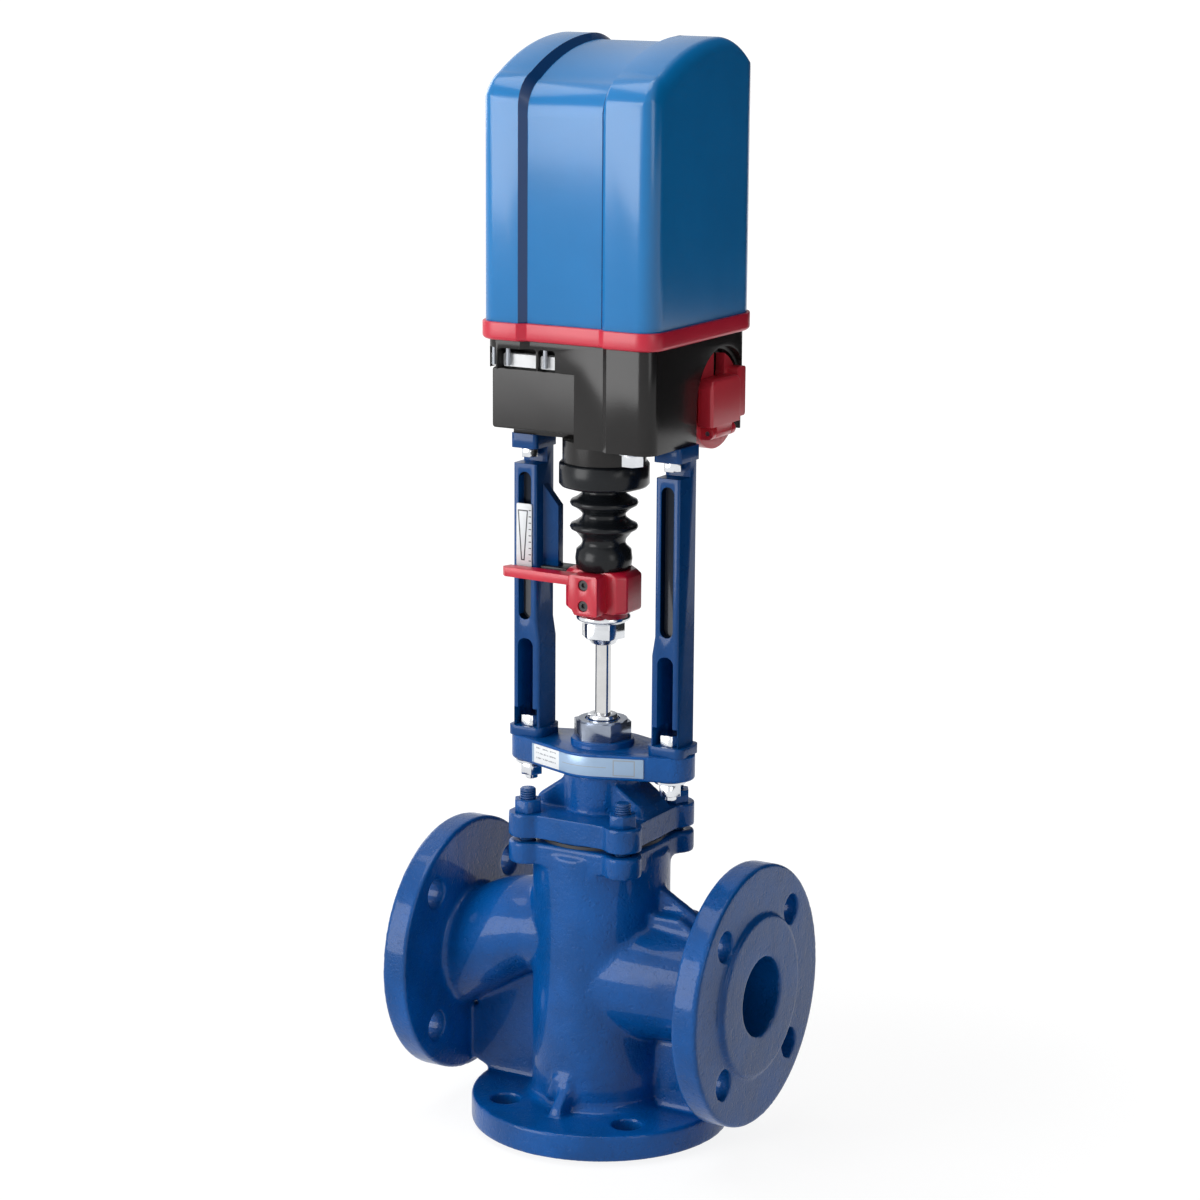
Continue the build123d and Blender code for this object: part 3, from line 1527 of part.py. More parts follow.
with BuildPart() as crank_arm:
    with BuildSketch(Plane.YZ.offset(arm_x)):
        with Locations((crank_y, crank_z)):
            Circle(crank_disc_r)
        with Locations((crank_y + 4, crank_z + 14)):
            Rectangle(14, crank_disc_r, align=(Align.CENTER, Align.MIN), mode=Mode.SUBTRACT)
    extrude(amount=arm_t)
    with BuildSketch(Plane.YZ.offset(arm_face)) as rib:
        with Locations((crank_y + 20.5, crank_z + 3.5)):
            Rectangle(11, 31)
        fillet(rib.vertices(), 2)
    extrude(amount=crank_x + 2 - arm_face)
    with BuildSketch(Plane.YZ.offset(arm_x)) as rib_root:
        with Locations((crank_y + 18, crank_z + 3.5)):
            Rectangle(16, 31)
        fillet(rib_root.vertices(), 5)
    extrude(amount=arm_t)
    # Lugs on both sides of the handle's hinge
    with BuildSketch(Plane.XZ.offset(-crank_y + lug_outer / 2 + 4)):
        with Locations((hinge_x, hinge_z)):
            Circle(hinge_r)
            Rectangle(hinge_x - arm_face, 2 * hinge_r, align=(Align.MAX, Align.CENTER))
    extrude(amount=-lug_outer)
    with BuildSketch(Plane.XZ.offset(-crank_y + lug_inner / 2 + 4 + nut_gap)):
        with Locations((arm_face, hinge_z)):
            Rectangle(20, 2 * hinge_r + 1, align=(Align.MIN, Align.CENTER))
    extrude(amount=-lug_inner - 2 * nut_gap, mode=Mode.SUBTRACT)
    with BuildSketch(Plane.XZ.offset(-crank_y + lug_outer / 2 + 4)):
        with Locations((hinge_x, hinge_z)):
            Circle(hinge_pin_r)
    extrude(amount=-lug_outer, mode=Mode.SUBTRACT)
    with BuildSketch(Plane.YZ.offset(arm_x)):
        with Locations((crank_y, crank_z)):
            Circle(crank_shaft_r)
    extrude(amount=hub_depth, mode=Mode.SUBTRACT)
keep(crank_arm.part, "crank_arm")

with BuildPart() as crank_hinge_pin:
    with BuildSketch(Plane.XZ.offset(-crank_y + lug_outer / 2 + 4)):
        with Locations((hinge_x, hinge_z)):
            Circle(hinge_pin_r)
    extrude(amount=-lug_outer)
keep(crank_hinge_pin.part, "crank_hinge_pin")

handle_in = arm_face + 1.7
handle_out = arm_face + 11.7

with BuildPart() as crank_handle:
    with BuildSketch(Plane.YZ.offset(handle_in)) as grip:
        with Locations((crank_y - 7, crank_z - 3)):
            Rectangle(38, 38)
        fillet(grip.vertices(), 6)
    extrude(amount=handle_out - handle_in)
    fillet(crank_handle.faces().sort_by(Axis.X)[-1].edges(), 2)
    # Clear the lugs, and round the foot about the hinge
    with BuildSketch(Plane.XZ.offset(-crank_y + lug_outer)):
        with Locations((handle_in, hinge_z + hinge_r + 1)):
            Rectangle(20, 20, align=(Align.MIN, Align.MAX))
    extrude(amount=-2 * lug_outer, mode=Mode.SUBTRACT)
    with BuildSketch(Plane.XZ.offset(-crank_y + lug_inner / 2 + 4)):
        with Locations((hinge_x, hinge_z)):
            Circle(hinge_r)
            Rectangle(2 * hinge_r, hinge_r + 2, align=(Align.CENTER, Align.MIN))
    extrude(amount=-lug_inner)
    with BuildSketch(Plane.XZ.offset(-crank_y + lug_outer)):
        with Locations((hinge_x, hinge_z)):
            Circle(hinge_pin_r + running_fit)
    extrude(amount=-2 * lug_outer, mode=Mode.SUBTRACT)
keep(crank_handle.part, "crank_handle")
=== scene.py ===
import json
from math import cos, pi, radians, sin

import bmesh
import bpy
from mathutils import Matrix, Vector


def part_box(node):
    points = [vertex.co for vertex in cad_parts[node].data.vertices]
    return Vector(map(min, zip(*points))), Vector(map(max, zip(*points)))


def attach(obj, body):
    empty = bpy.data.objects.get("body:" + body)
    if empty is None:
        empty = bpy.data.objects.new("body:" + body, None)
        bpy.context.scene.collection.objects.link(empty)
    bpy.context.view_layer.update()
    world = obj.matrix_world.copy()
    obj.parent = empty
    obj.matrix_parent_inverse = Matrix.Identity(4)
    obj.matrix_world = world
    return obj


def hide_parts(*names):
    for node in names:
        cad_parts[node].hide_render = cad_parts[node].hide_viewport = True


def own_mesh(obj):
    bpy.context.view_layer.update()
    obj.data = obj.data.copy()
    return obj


bl_info = {
    "name": "Three-way control valve",
    "version": (1, 0, 0),
    "blender": (4, 5, 0),
    "location": "View3D > Sidebar > Valve",
    "description": "Builds the looks of a flanged three-way control valve around its CAD frame",
    "category": "Object",
}

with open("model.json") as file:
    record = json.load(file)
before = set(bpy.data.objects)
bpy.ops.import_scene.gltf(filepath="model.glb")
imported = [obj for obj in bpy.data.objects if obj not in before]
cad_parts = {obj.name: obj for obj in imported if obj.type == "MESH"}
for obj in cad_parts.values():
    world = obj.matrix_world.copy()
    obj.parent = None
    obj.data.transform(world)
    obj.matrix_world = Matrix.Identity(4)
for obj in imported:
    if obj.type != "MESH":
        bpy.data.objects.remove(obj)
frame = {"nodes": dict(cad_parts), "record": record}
MM = 0.001

THREAD_PITCH = 1.5 * MM
GROOVE_HALF = 4.7 * MM
GROOVE_LOW = 325.0 * MM
GROOVE_DROP = 24.0 * MM
COLUMN_HALF = 11.0 * MM
# x spans of the hood's two panel steps that get painted shade
STEP_SHADE_LEFT = (-32.6 * MM, -28.1 * MM)
STEP_SHADE_RIGHT = (23.0 * MM, 24.6 * MM)


# Sizes and colours that a user would change

def colour(name, description, default):
    return bpy.props.FloatVectorProperty(
        name=name, description=description, default=default, size=3,
        min=0.0, max=1.0, subtype="COLOR",
    )


def length(name, description, default):
    return bpy.props.FloatProperty(
        name=name, description=description, default=default, min=0.0,
        unit="LENGTH", subtype="DISTANCE",
    )


class ValvePaints(bpy.types.PropertyGroup):
    """Colours of the paints and mouldings."""

    cast_blue: colour("Cast paint", "Paint on the cast iron", (0.0, 0.072, 0.28))
    column_blue: colour("Column paint", "Paint on the two columns", (0.0, 0.052, 0.20))
    cover_blue: colour("Cover", "Moulded hood", (0.0, 0.175, 0.47))
    band_red: colour("Band", "Sealing band", (0.55, 0.008, 0.035))
    coupling_red: colour("Coupling", "Coupling and pointer", (0.52, 0.004, 0.026))
    crank_red: colour("Crank", "Hand crank", (0.60, 0.025, 0.045))
    housing_dark: colour("Housing", "Lower housing", (0.014, 0.013, 0.013))
    rubber_black: colour("Rubber", "Bellows", (0.010, 0.012, 0.015))


class ValveSizes(bpy.types.PropertyGroup):
    """Sizes of the finer features."""

    cast_cell: length("Casting cell", "Cell of the castings' mesh", 1.3 * MM)
    edge_round: length("Edge rounding", "Rounding on moulded edges", 0.6 * MM)
    fine_round: length("Fine rounding", "Rounding on machined edges", 0.35 * MM)


def paints():
    return bpy.context.scene.valve_paints


def sizes():
    return bpy.context.scene.valve_sizes


# Shader groups, each built once

def new_group(name, inputs, outputs):
    group = bpy.data.node_groups.new(name, "ShaderNodeTree")
    for label, kind, value in inputs:
        socket = group.interface.new_socket(label, in_out="INPUT", socket_type=kind)
        socket.default_value = value
    for label, kind in outputs:
        group.interface.new_socket(label, in_out="OUTPUT", socket_type=kind)
    start = group.nodes.new("NodeGroupInput")
    end = group.nodes.new("NodeGroupOutput")
    return group, start, end


def maths(tree, operation, first, second=None, clamp=False):
    node = tree.nodes.new("ShaderNodeMath")
    node.operation = operation
    node.use_clamp = clamp
    for index, value in enumerate((first, second)):
        if value is None:
            continue
        if isinstance(value, bpy.types.NodeSocket):
            tree.links.new(value, node.inputs[index])
        else:
            node.inputs[index].default_value = value
    return node.outputs[0]


def object_place(tree):
    return tree.nodes.new("ShaderNodeTexCoord").outputs["Object"]


def noise(tree, place, scale, detail=4.0, roughness=0.55):
    node = tree.nodes.new("ShaderNodeTexNoise")
    tree.links.new(place, node.inputs["Vector"])
    if isinstance(scale, bpy.types.NodeSocket):
        tree.links.new(scale, node.inputs["Scale"])
    else:
        node.inputs["Scale"].default_value = scale
    node.inputs["Detail"].default_value = detail
    node.inputs["Roughness"].default_value = roughness
    return node.outputs["Fac"]


def spread(tree, value, low, high):
    """Stretches a narrow band of a texture over 0 to 1."""
    node = tree.nodes.new("ShaderNodeMapRange")
    node.interpolation_type = "SMOOTHSTEP"
    tree.links.new(value, node.inputs["Value"])
    node.inputs["From Min"].default_value = low
    node.inputs["From Max"].default_value = high
    return node.outputs["Result"]


def inside(tree, value, low, high, soft=0.05 * MM):
    """1 where a value lies between low and high, with a soft edge."""
    rise = spread(tree, value, low - soft, low + soft)
    fall = spread(tree, value, high - soft, high + soft)
    return maths(tree, "SUBTRACT", rise, fall, clamp=True)


def axes_of(tree, place):
    split = tree.nodes.new("ShaderNodeSeparateXYZ")
    tree.links.new(place, split.inputs["Vector"])
    return split.outputs


def both(tree, *values):
    result = values[0]
    for value in values[1:]:
        result = maths(tree, "MULTIPLY", result, value)
    return result


def either(tree, *values):
    result = values[0]
    for value in values[1:]:
        result = maths(tree, "MAXIMUM", result, value)
    return result


# Places that the prints and the grooves follow, from the frame

def middle(node):
    low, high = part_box(node)
    return (low + high) / 2


def thread_group():
    """Screw thread round a vertical stud."""
    group, start, end = new_group(
        "Screw thread",
        [("Scale", "NodeSocketFloat", 1.0)],
        [("Height", "NodeSocketFloat"), ("Mottle", "NodeSocketFloat")],
    )
    place = object_place(group)
    z = axes_of(group, place)["Z"]
    turns = maths(group, "MULTIPLY", z, 2.0 * pi / THREAD_PITCH)
    height = maths(group, "MULTIPLY", maths(group, "SINE", turns), start.outputs["Scale"])
    group.links.new(height, end.inputs["Height"])
    group.links.new(spread(group, noise(group, place, 60.0, 4.0), 0.3, 0.7), end.inputs["Mottle"])
    return group


def groove_group():
    """The dark bottoms of the columns' long grooves."""
    group, start, end = new_group("Groove", [], [("Mask", "NodeSocketFloat")])
    low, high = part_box("column_right")
    across = (low.x + high.x) / 2
    axes = axes_of(group, object_place(group))
    x = maths(group, "ABSOLUTE", axes["X"])
    y = maths(group, "ABSOLUTE", axes["Y"])
    near = inside(group, x, across - GROOVE_HALF, across + GROOVE_HALF)
    deep = inside(group, y, -COLUMN_HALF, COLUMN_HALF - 0.6 * MM)
    tall = inside(group, axes["Z"], GROOVE_LOW, high.z - GROOVE_DROP)
    group.links.new(both(group, near, deep, tall), end.inputs["Mask"])
    return group


def step_shade_group():
    """Painted shade on the bottoms of the two steps beside the hood's sunk panel."""
    group, start, end = new_group("Painted step shade", [], [("Mask", "NodeSocketFloat")])
    x = axes_of(group, object_place(group))["X"]
    left = inside(group, x, *STEP_SHADE_LEFT)
    right = inside(group, x, *STEP_SHADE_RIGHT)
    group.links.new(either(group, left, right), end.inputs["Mask"])
    return group


def plate_group():
    """Bare fields of the rating plate: a white field with generic strokes, foil and a framed cell."""
    group, start, end = new_group(
        "Plate fields", [],
        [("Field", "NodeSocketFloat"), ("Stroke", "NodeSocketFloat"), ("Line", "NodeSocketFloat")],
    )
    centre = middle("nameplate")
    place = object_place(group)
    axes = axes_of(group, place)
    z = maths(group, "SUBTRACT", axes["Z"], centre.z)
    x = axes["X"]
    field = inside(group, x, -38.0 * MM, -15.0 * MM)
    rows = maths(group, "SINE", maths(group, "MULTIPLY", z, 2.0 * pi / (3.2 * MM)))
    broken = noise(group, place, 900.0, 1.0)
    stroke = both(
        group, spread(group, rows, 0.5, 0.8), spread(group, broken, 0.42, 0.5),
        inside(group, x, -36.0 * MM, -18.0 * MM), inside(group, z, -4.6 * MM, 4.6 * MM),
    )
    frame_out = both(group, inside(group, x, 22.0 * MM, 35.0 * MM), inside(group, z, -5.0 * MM, 5.0 * MM))
    frame_in = both(group, inside(group, x, 22.6 * MM, 34.4 * MM), inside(group, z, -4.4 * MM, 4.4 * MM))
    rules = both(group, inside(group, z, -0.2 * MM, 0.2 * MM), inside(group, x, -12.0 * MM, 18.0 * MM))
    line = either(group, maths(group, "SUBTRACT", frame_out, frame_in, clamp=True), rules)
    group.links.new(field, end.inputs["Field"])
    group.links.new(stroke, end.inputs["Stroke"])
    group.links.new(line, end.inputs["Line"])
    return group


def scale_group():
    """Generic stroke scale: a tapered wedge outline beside a row of ticks."""
    group, start, end = new_group("Stroke scale", [], [("Mark", "NodeSocketFloat")])
    low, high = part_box("scale_plate")
    centre = (low + high) / 2
    axes = axes_of(group, object_place(group))
    x = maths(group, "SUBTRACT", axes["X"], centre.x)
    z = maths(group, "SUBTRACT", axes["Z"], centre.z)
    half = maths(group, "MULTIPLY_ADD", z, 0.075)
    half.node.inputs[2].default_value = 2.1 * MM
    side = maths(group, "ABSOLUTE", maths(group, "ADD", x, 0.8 * MM))
    edge = maths(group, "ABSOLUTE", maths(group, "SUBTRACT", side, half))
    outline = both(group, inside(group, edge, -0.5 * MM, 0.42 * MM), inside(group, z, -16.0 * MM, 16.0 * MM))
    caps = both(
        group, inside(group, maths(group, "ABSOLUTE", z), 15.2 * MM, 16.0 * MM),
        inside(group, maths(group, "SUBTRACT", half, side), 0.0, 5.0 * MM),
    )
    steps = maths(group, "COSINE", maths(group, "MULTIPLY", z, 2.0 * pi / (4.0 * MM)))
    ticks = both(
        group, spread(group, steps, 0.86, 0.94), inside(group, x, 3.4 * MM, 5.2 * MM),
        inside(group, z, -17.0 * MM, 17.0 * MM),
    )
    group.links.new(either(group, outline, caps, ticks), end.inputs["Mark"])
    return group


def cast_grain_group():
    """Sand casting under paint: broad waviness, grain and a few pits."""
    group, start, end = new_group(
        "Cast grain",
        [("Scale", "NodeSocketFloat", 1.0)],
        [("Height", "NodeSocketFloat"), ("Mottle", "NodeSocketFloat")],
    )
    place = object_place(group)
    broad = noise(group, place, maths(group, "MULTIPLY", start.outputs["Scale"], 60.0), 3.0)
    fine = noise(group, place, maths(group, "MULTIPLY", start.outputs["Scale"], 520.0), 5.0, 0.6)
    pits = spread(group, noise(group, place, 230.0, 2.0), 0.30, 0.42)
    height = maths(group, "ADD", maths(group, "MULTIPLY", broad, 1.3), maths(group, "MULTIPLY", fine, 0.7))
    height = maths(group, "ADD", height, maths(group, "MULTIPLY", pits, 0.35))
    group.links.new(height, end.inputs["Height"])
    group.links.new(spread(group, noise(group, place, 22.0, 4.0), 0.3, 0.7), end.inputs["Mottle"])
    return group


def moulded_grain_group():
    """Fine even texture of a moulding or of powder paint."""
    group, start, end = new_group(
        "Moulded grain",
        [("Scale", "NodeSocketFloat", 1.0)],
        [("Height", "NodeSocketFloat"), ("Mottle", "NodeSocketFloat")],
    )
    place = object_place(group)
    fine = noise(group, place, maths(group, "MULTIPLY", start.outputs["Scale"], 1400.0), 2.0)
    group.links.new(fine, end.inputs["Height"])
    group.links.new(spread(group, noise(group, place, 14.0, 3.0), 0.3, 0.7), end.inputs["Mottle"])
    return group


def turned_group():
    """Fine tool marks that run round the stem's axis, with faint stains."""
    group, start, end = new_group(
        "Turned marks",
        [("Scale", "NodeSocketFloat", 1.0)],
        [("Height", "NodeSocketFloat"), ("Mottle", "NodeSocketFloat")],
    )
    place = object_place(group)
    stretch = group.nodes.new("ShaderNodeMapping")
    stretch.inputs["Scale"].default_value = (18.0, 18.0, 900.0)
    group.links.new(place, stretch.inputs["Vector"])
    marks = noise(group, stretch.outputs["Vector"], start.outputs["Scale"], 3.0)
    group.links.new(marks, end.inputs["Height"])
    group.links.new(spread(group, noise(group, place, 90.0, 4.0), 0.35, 0.75), end.inputs["Mottle"])
    return group


GROUPS = {}


def group_named(kind):
    if kind not in GROUPS:
        GROUPS[kind] = {
            "cast": cast_grain_group,
            "moulded": moulded_grain_group,
            "turned": turned_group,
            "thread": thread_group,
            "groove": groove_group,
            "plate": plate_group,
            # painted shade on the hood's panel steps
            "step_shade": step_shade_group,
            "scale": scale_group,
        }[kind]()
    return GROUPS[kind]


def use_group(tree, kind, **values):
    node = tree.nodes.new("ShaderNodeGroup")
    node.node_tree = group_named(kind)
    for label, value in values.items():
        node.inputs[label].default_value = value
    return node


def mixed(tree, mask, first, second, mode="MIX"):
    """Colour mix by a mask socket; first and second are colours or sockets."""
    node = tree.nodes.new("ShaderNodeMix")
    node.data_type = "RGBA"
    node.blend_type = mode
    tree.links.new(mask, node.inputs["Factor"])
    for socket, value in ((node.inputs[6], first), (node.inputs[7], second)):
        if isinstance(value, bpy.types.NodeSocket):
            tree.links.new(value, socket)
        else:
            socket.default_value = (*value[:3], 1.0)
    return node.outputs[2]


def shaded(value, factor):
    return tuple(min(1.0, c * factor) for c in value)


def finish_material(
    name, base, rough, metal=0.0, kind="moulded", scale=1.0, depth=0.05 * MM,
    vary=0.12, coat=0.0, coat_rough=0.1, specular=0.5, rough_vary=0.08, prints=None,
):
    """A procedural finish: grain for bump, mottling for colour and gloss, and prints."""
    material = bpy.data.materials.new(name)
    material.use_nodes = True
    tree = material.node_tree
    shader = tree.nodes["Principled BSDF"]
    shader.inputs["Metallic"].default_value = metal
    shader.inputs["Specular IOR Level"].default_value = specular
    shader.inputs["Coat Weight"].default_value = coat
    shader.inputs["Coat Roughness"].default_value = coat_rough
    grain = use_group(tree, kind, Scale=scale)
    tone = mixed(tree, grain.outputs["Mottle"], shaded(base, 1.0 - vary), shaded(base, 1.0 + vary))
    for group, marks in (prints or {}).items():
        printed = use_group(tree, group)
        for output, ink in marks.items():
            tone = mixed(tree, printed.outputs[output], tone, ink)
    tree.links.new(tone, shader.inputs["Base Color"])
    gloss = maths(tree, "MULTIPLY_ADD", grain.outputs["Mottle"], rough_vary)
    gloss.node.inputs[2].default_value = rough - rough_vary / 2
    tree.links.new(gloss, shader.inputs["Roughness"])
    bump = tree.nodes.new("ShaderNodeBump")
    bump.inputs["Distance"].default_value = depth
    bump.inputs["Strength"].default_value = 1.0
    tree.links.new(grain.outputs["Height"], bump.inputs["Height"])
    tree.links.new(bump.outputs["Normal"], shader.inputs["Normal"])
    return material


MATERIALS = {}
WHITE_INK = (0.80, 0.82, 0.84)
GREY_INK = (0.30, 0.32, 0.35)
BLACK_INK = (0.02, 0.022, 0.03)
# Near black given to the bottoms of the columns' long grooves by a position mask
GROOVE_NEAR_BLACK = (0.0, 0.006, 0.02)
# Navy of the painted shade on the hood's two panel steps
PAINTED_STEP_SHADE = (0.0, 0.035, 0.13)


def make_materials():
    p = paints()
    made = {
        "cast_blue": dict(base=p.cast_blue, rough=0.32, kind="cast", depth=0.60 * MM, vary=0.18,
                          coat=0.30, coat_rough=0.07, specular=0.12),
        "cast_thread": dict(base=shaded(p.cast_blue, 0.85), rough=0.36, kind="thread", depth=0.45 * MM,
                            vary=0.10),
        "column_blue": dict(base=p.column_blue, rough=0.30, kind="cast", scale=1.6, depth=0.12 * MM,
                            vary=0.10, coat=0.25, coat_rough=0.08, specular=0.12,
                            prints={"groove": {"Mask": GROOVE_NEAR_BLACK}}),
        # the hood's two panel steps get painted shade
        "cover_blue": dict(base=p.cover_blue, rough=0.22, depth=0.012 * MM, vary=0.04, coat=0.12,
                           coat_rough=0.10, rough_vary=0.03, specular=0.45,
                           prints={"step_shade": {"Mask": PAINTED_STEP_SHADE}}),
        "band_red": dict(base=p.band_red, rough=0.36, depth=0.02 * MM, vary=0.05, coat=0.1, coat_rough=0.3),
        "coupling_red": dict(base=p.coupling_red, rough=0.33, kind="cast", scale=2.5, depth=0.05 * MM,
                             vary=0.08, coat=0.15, coat_rough=0.2),
        "crank_red": dict(base=p.crank_red, rough=0.33, depth=0.02 * MM, vary=0.06, coat=0.1,
                          coat_rough=0.25),
        "housing_dark": dict(base=p.housing_dark, rough=0.20, depth=0.03 * MM, vary=0.10, scale=0.8,
                             specular=0.28),
        "rubber": dict(base=shaded(p.rubber_black, 0.7), rough=0.24, depth=0.03 * MM, vary=0.2,
                       scale=0.6, specular=0.25),
        "chrome": dict(base=(0.70, 0.72, 0.75), rough=0.17, metal=1.0, kind="turned", depth=0.015 * MM,
                       vary=0.06),
        "stainless": dict(base=(0.62, 0.62, 0.62), rough=0.12, metal=1.0, kind="turned", depth=0.015 * MM,
                          vary=0.05),
        "spindle_steel": dict(base=(0.46, 0.46, 0.47), rough=0.32, metal=1.0, kind="turned", depth=0.04 * MM,
                              vary=0.08),
        "gear_steel": dict(base=(0.36, 0.36, 0.37), rough=0.34, metal=1.0, kind="turned", depth=0.03 * MM,
                           vary=0.1),
        "steel_dark": dict(base=(0.30, 0.34, 0.42), rough=0.24, metal=0.9, kind="turned", depth=0.03 * MM,
                           vary=0.15),
        "screw_black": dict(base=(0.012, 0.012, 0.014), rough=0.4, vary=0.2),
        "graphite": dict(base=(0.03, 0.03, 0.035), rough=0.6, vary=0.2),
        "ptfe": dict(base=(0.80, 0.80, 0.78), rough=0.5, vary=0.03),
        "label": dict(base=(0.30, 0.42, 0.58), rough=0.30, metal=0.35, depth=0.01 * MM, vary=0.06,
                      prints={"plate": {"Field": WHITE_INK, "Stroke": GREY_INK, "Line": GREY_INK}}),
        "scale_label": dict(base=(0.72, 0.74, 0.76), rough=0.35, vary=0.03,
                            prints={"scale": {"Mark": BLACK_INK}}),
        "guide_black": dict(base=(0.012, 0.012, 0.014), rough=0.4, vary=0.15),
        "plug_white": dict(base=(0.78, 0.79, 0.80), rough=0.42, vary=0.04),
        "pin_grey": dict(base=(0.30, 0.32, 0.35), rough=0.35, metal=0.6, kind="turned", vary=0.1),
        "bearing_bronze": dict(base=(0.50, 0.30, 0.13), rough=0.35, metal=1.0, kind="turned", vary=0.1),
        "board_green": dict(base=(0.02, 0.15, 0.05), rough=0.4, vary=0.1),
        "switch_black": dict(base=(0.03, 0.03, 0.032), rough=0.5, vary=0.1),
    }
    for name, values in made.items():
        MATERIALS[name] = finish_material(name, **values)


# Nodes whose finish differs from their slot's plain one
OWN_FINISH = {
    "clamp_screws": "screw_black",
    "scale_plate": "scale_label",
    "bonnet_studs": "cast_thread",
}


def finish_of(node):
    return OWN_FINISH.get(node, slot_of(node))


def slot_of(node):
    for row in frame["record"]["subparts"]:
        if row["node"] == node:
            return row["material_slot"]
    raise RuntimeError("no subpart row for " + node)


def body_with(node):
    for body, members in frame["record"]["behaviour"]["bodies"].items():
        if node in members:
            return body
    raise RuntimeError("no body holds " + node)


def dress(piece, finish):
    piece.data.materials.clear()
    piece.data.materials.append(MATERIALS[finish])


class VALVE_OT_finishes(bpy.types.Operator):
    """Give every CAD node its finish"""

    bl_idname = "valve.finishes"
    bl_label = "Finishes"

    def execute(self, context):
        make_materials()
        for name, node in frame["nodes"].items():
            dress(node, finish_of(name))
        return {"FINISHED"}


# Tools for new pieces

def edit(piece):
    """Edit mode on one piece with nothing selected."""
    bpy.ops.object.select_all(action="DESELECT")
    bpy.context.view_layer.objects.active = piece
    piece.select_set(True)
    bpy.ops.object.mode_set(mode="EDIT")
    bpy.ops.mesh.select_mode(type="VERT")
    bpy.ops.mesh.select_all(action="DESELECT")


def leave():
    bpy.ops.object.mode_set(mode="OBJECT")


def apply_all(piece):
    bpy.ops.object.select_all(action="DESELECT")
    bpy.context.view_layer.objects.active = piece
    piece.select_set(True)
    for modifier in list(piece.modifiers):
        bpy.ops.object.modifier_apply(modifier=modifier.name)


def merged_copy(node, name):
    """A copy of a CAD node's mesh with its loose triangles merged to whole faces."""
    piece = bpy.data.objects.new(name, frame["nodes"][node].data.copy())
    bpy.context.scene.collection.objects.link(piece)
    edit(piece)
    bpy.ops.mesh.select_all(action="SELECT")
    bpy.ops.mesh.customdata_custom_splitnormals_clear()
    bpy.ops.mesh.remove_doubles(threshold=0.002 * MM)
    bpy.ops.mesh.dissolve_limited(angle_limit=radians(1.0))
    leave()
    return piece


def settle(piece, finish, *nodes):
    """Give a piece its finish, and let it stand for its CAD nodes on their body."""
    dress(piece, finish)
    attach(piece, body_with(nodes[0]))
    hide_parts(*nodes)


def smooth(piece, angle=35.0):
    bpy.ops.object.select_all(action="DESELECT")
    bpy.context.view_layer.objects.active = piece
    piece.select_set(True)
    bpy.ops.object.shade_smooth_by_angle(angle=radians(angle))


def rounded_copy(node, name, width, angle=28.0, segments=2):
    """A copy of a CAD node with its sharp edges rounded over."""
    piece = merged_copy(node, name)
    edit(piece)
    bpy.ops.mesh.select_mode(type="EDGE")
    bpy.ops.mesh.edges_select_sharp(sharpness=radians(angle))
    bpy.ops.mesh.bevel(offset=width, segments=segments, profile=0.5, clamp_overlap=True, affect="EDGES")
    leave()
    smooth(piece)
    return piece


def turned(name, profile, segments=96):
    """A ring or sleeve lathed from (radius, height) points by extruding a circle."""
    r, z = profile[0]
    bpy.ops.object.select_all(action="DESELECT")
    bpy.ops.mesh.primitive_circle_add(vertices=segments, radius=r, location=(0.0, 0.0, z))
    piece = bpy.context.object
    piece.name = name
    bpy.ops.object.transform_apply(location=True, rotation=True, scale=True)
    edit(piece)
    bpy.ops.mesh.select_all(action="SELECT")
    for next_r, next_z in profile[1:]:
        bpy.ops.mesh.extrude_region_move(TRANSFORM_OT_translate={"value": (0.0, 0.0, next_z - z)})
        bpy.ops.transform.resize(value=(next_r / r, next_r / r, 1.0), center_override=(0.0, 0.0, next_z))
        r, z = next_r, next_z
    leave()
    return piece


# Castings

FLANGE_BACK = 21.0 * MM
MACHINED_BLEND = 0.12
# Smoothing passes and share of the faces kept
BODY_SKIN = (26, 0.42)
BONNET_SKIN = (18, 0.6)
# Machined heights at the foot and the top of each casting
BODY_ENDS = (21.0 * MM, 15.0 * MM)
BONNET_ENDS = (24.0 * MM, 33.0 * MM)
# Raised forms: low corner, high corner and the x span of the top, in millimetres
FORMS = {
    # Saddle on the right branch, where the gusset runs out
    "saddle": ((38, -13, 130), (92, 13, 148), (38, 62)),
    # Low pad at the foot of the barrel
    "pad": ((-15, -46, 26), (7, -30, 42), (-9, 4)),
    # Rib below the right branch
    "rib": ((30, -6, 18), (96, 6, 62), (30, 60)),
}


def cast_zone(piece, lowest, highest):
    """Vertex group that is full on the cast skin and slight on machined faces."""
    group = piece.vertex_groups.new(name="cast")
    flange_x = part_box("valve_body")[1].x - FLANGE_BACK
    for vertex in piece.data.vertices:
        place = vertex.co
        cast = abs(place.x) < flange_x and lowest < place.z < highest
        group.add([vertex.index], 1.0 if cast else MACHINED_BLEND, "REPLACE")


def cast_skin(piece, cell, lowest, highest, skin):
    """Fuse a piece to one skin with blended corners, as sand casting leaves it."""
    passes, keep = skin
    fuse = piece.modifiers.new("fuse", "REMESH")
    fuse.mode = "VOXEL"
    fuse.voxel_size = cell
    apply_all(piece)
    cast_zone(piece, lowest, highest)
    blend = piece.modifiers.new("blend", "SMOOTH")
    blend.factor = 0.5
    blend.iterations = passes
    blend.vertex_group = "cast"
    thin = piece.modifiers.new("thin", "DECIMATE")
    thin.ratio = keep
    apply_all(piece)
    smooth(piece, 38.0)


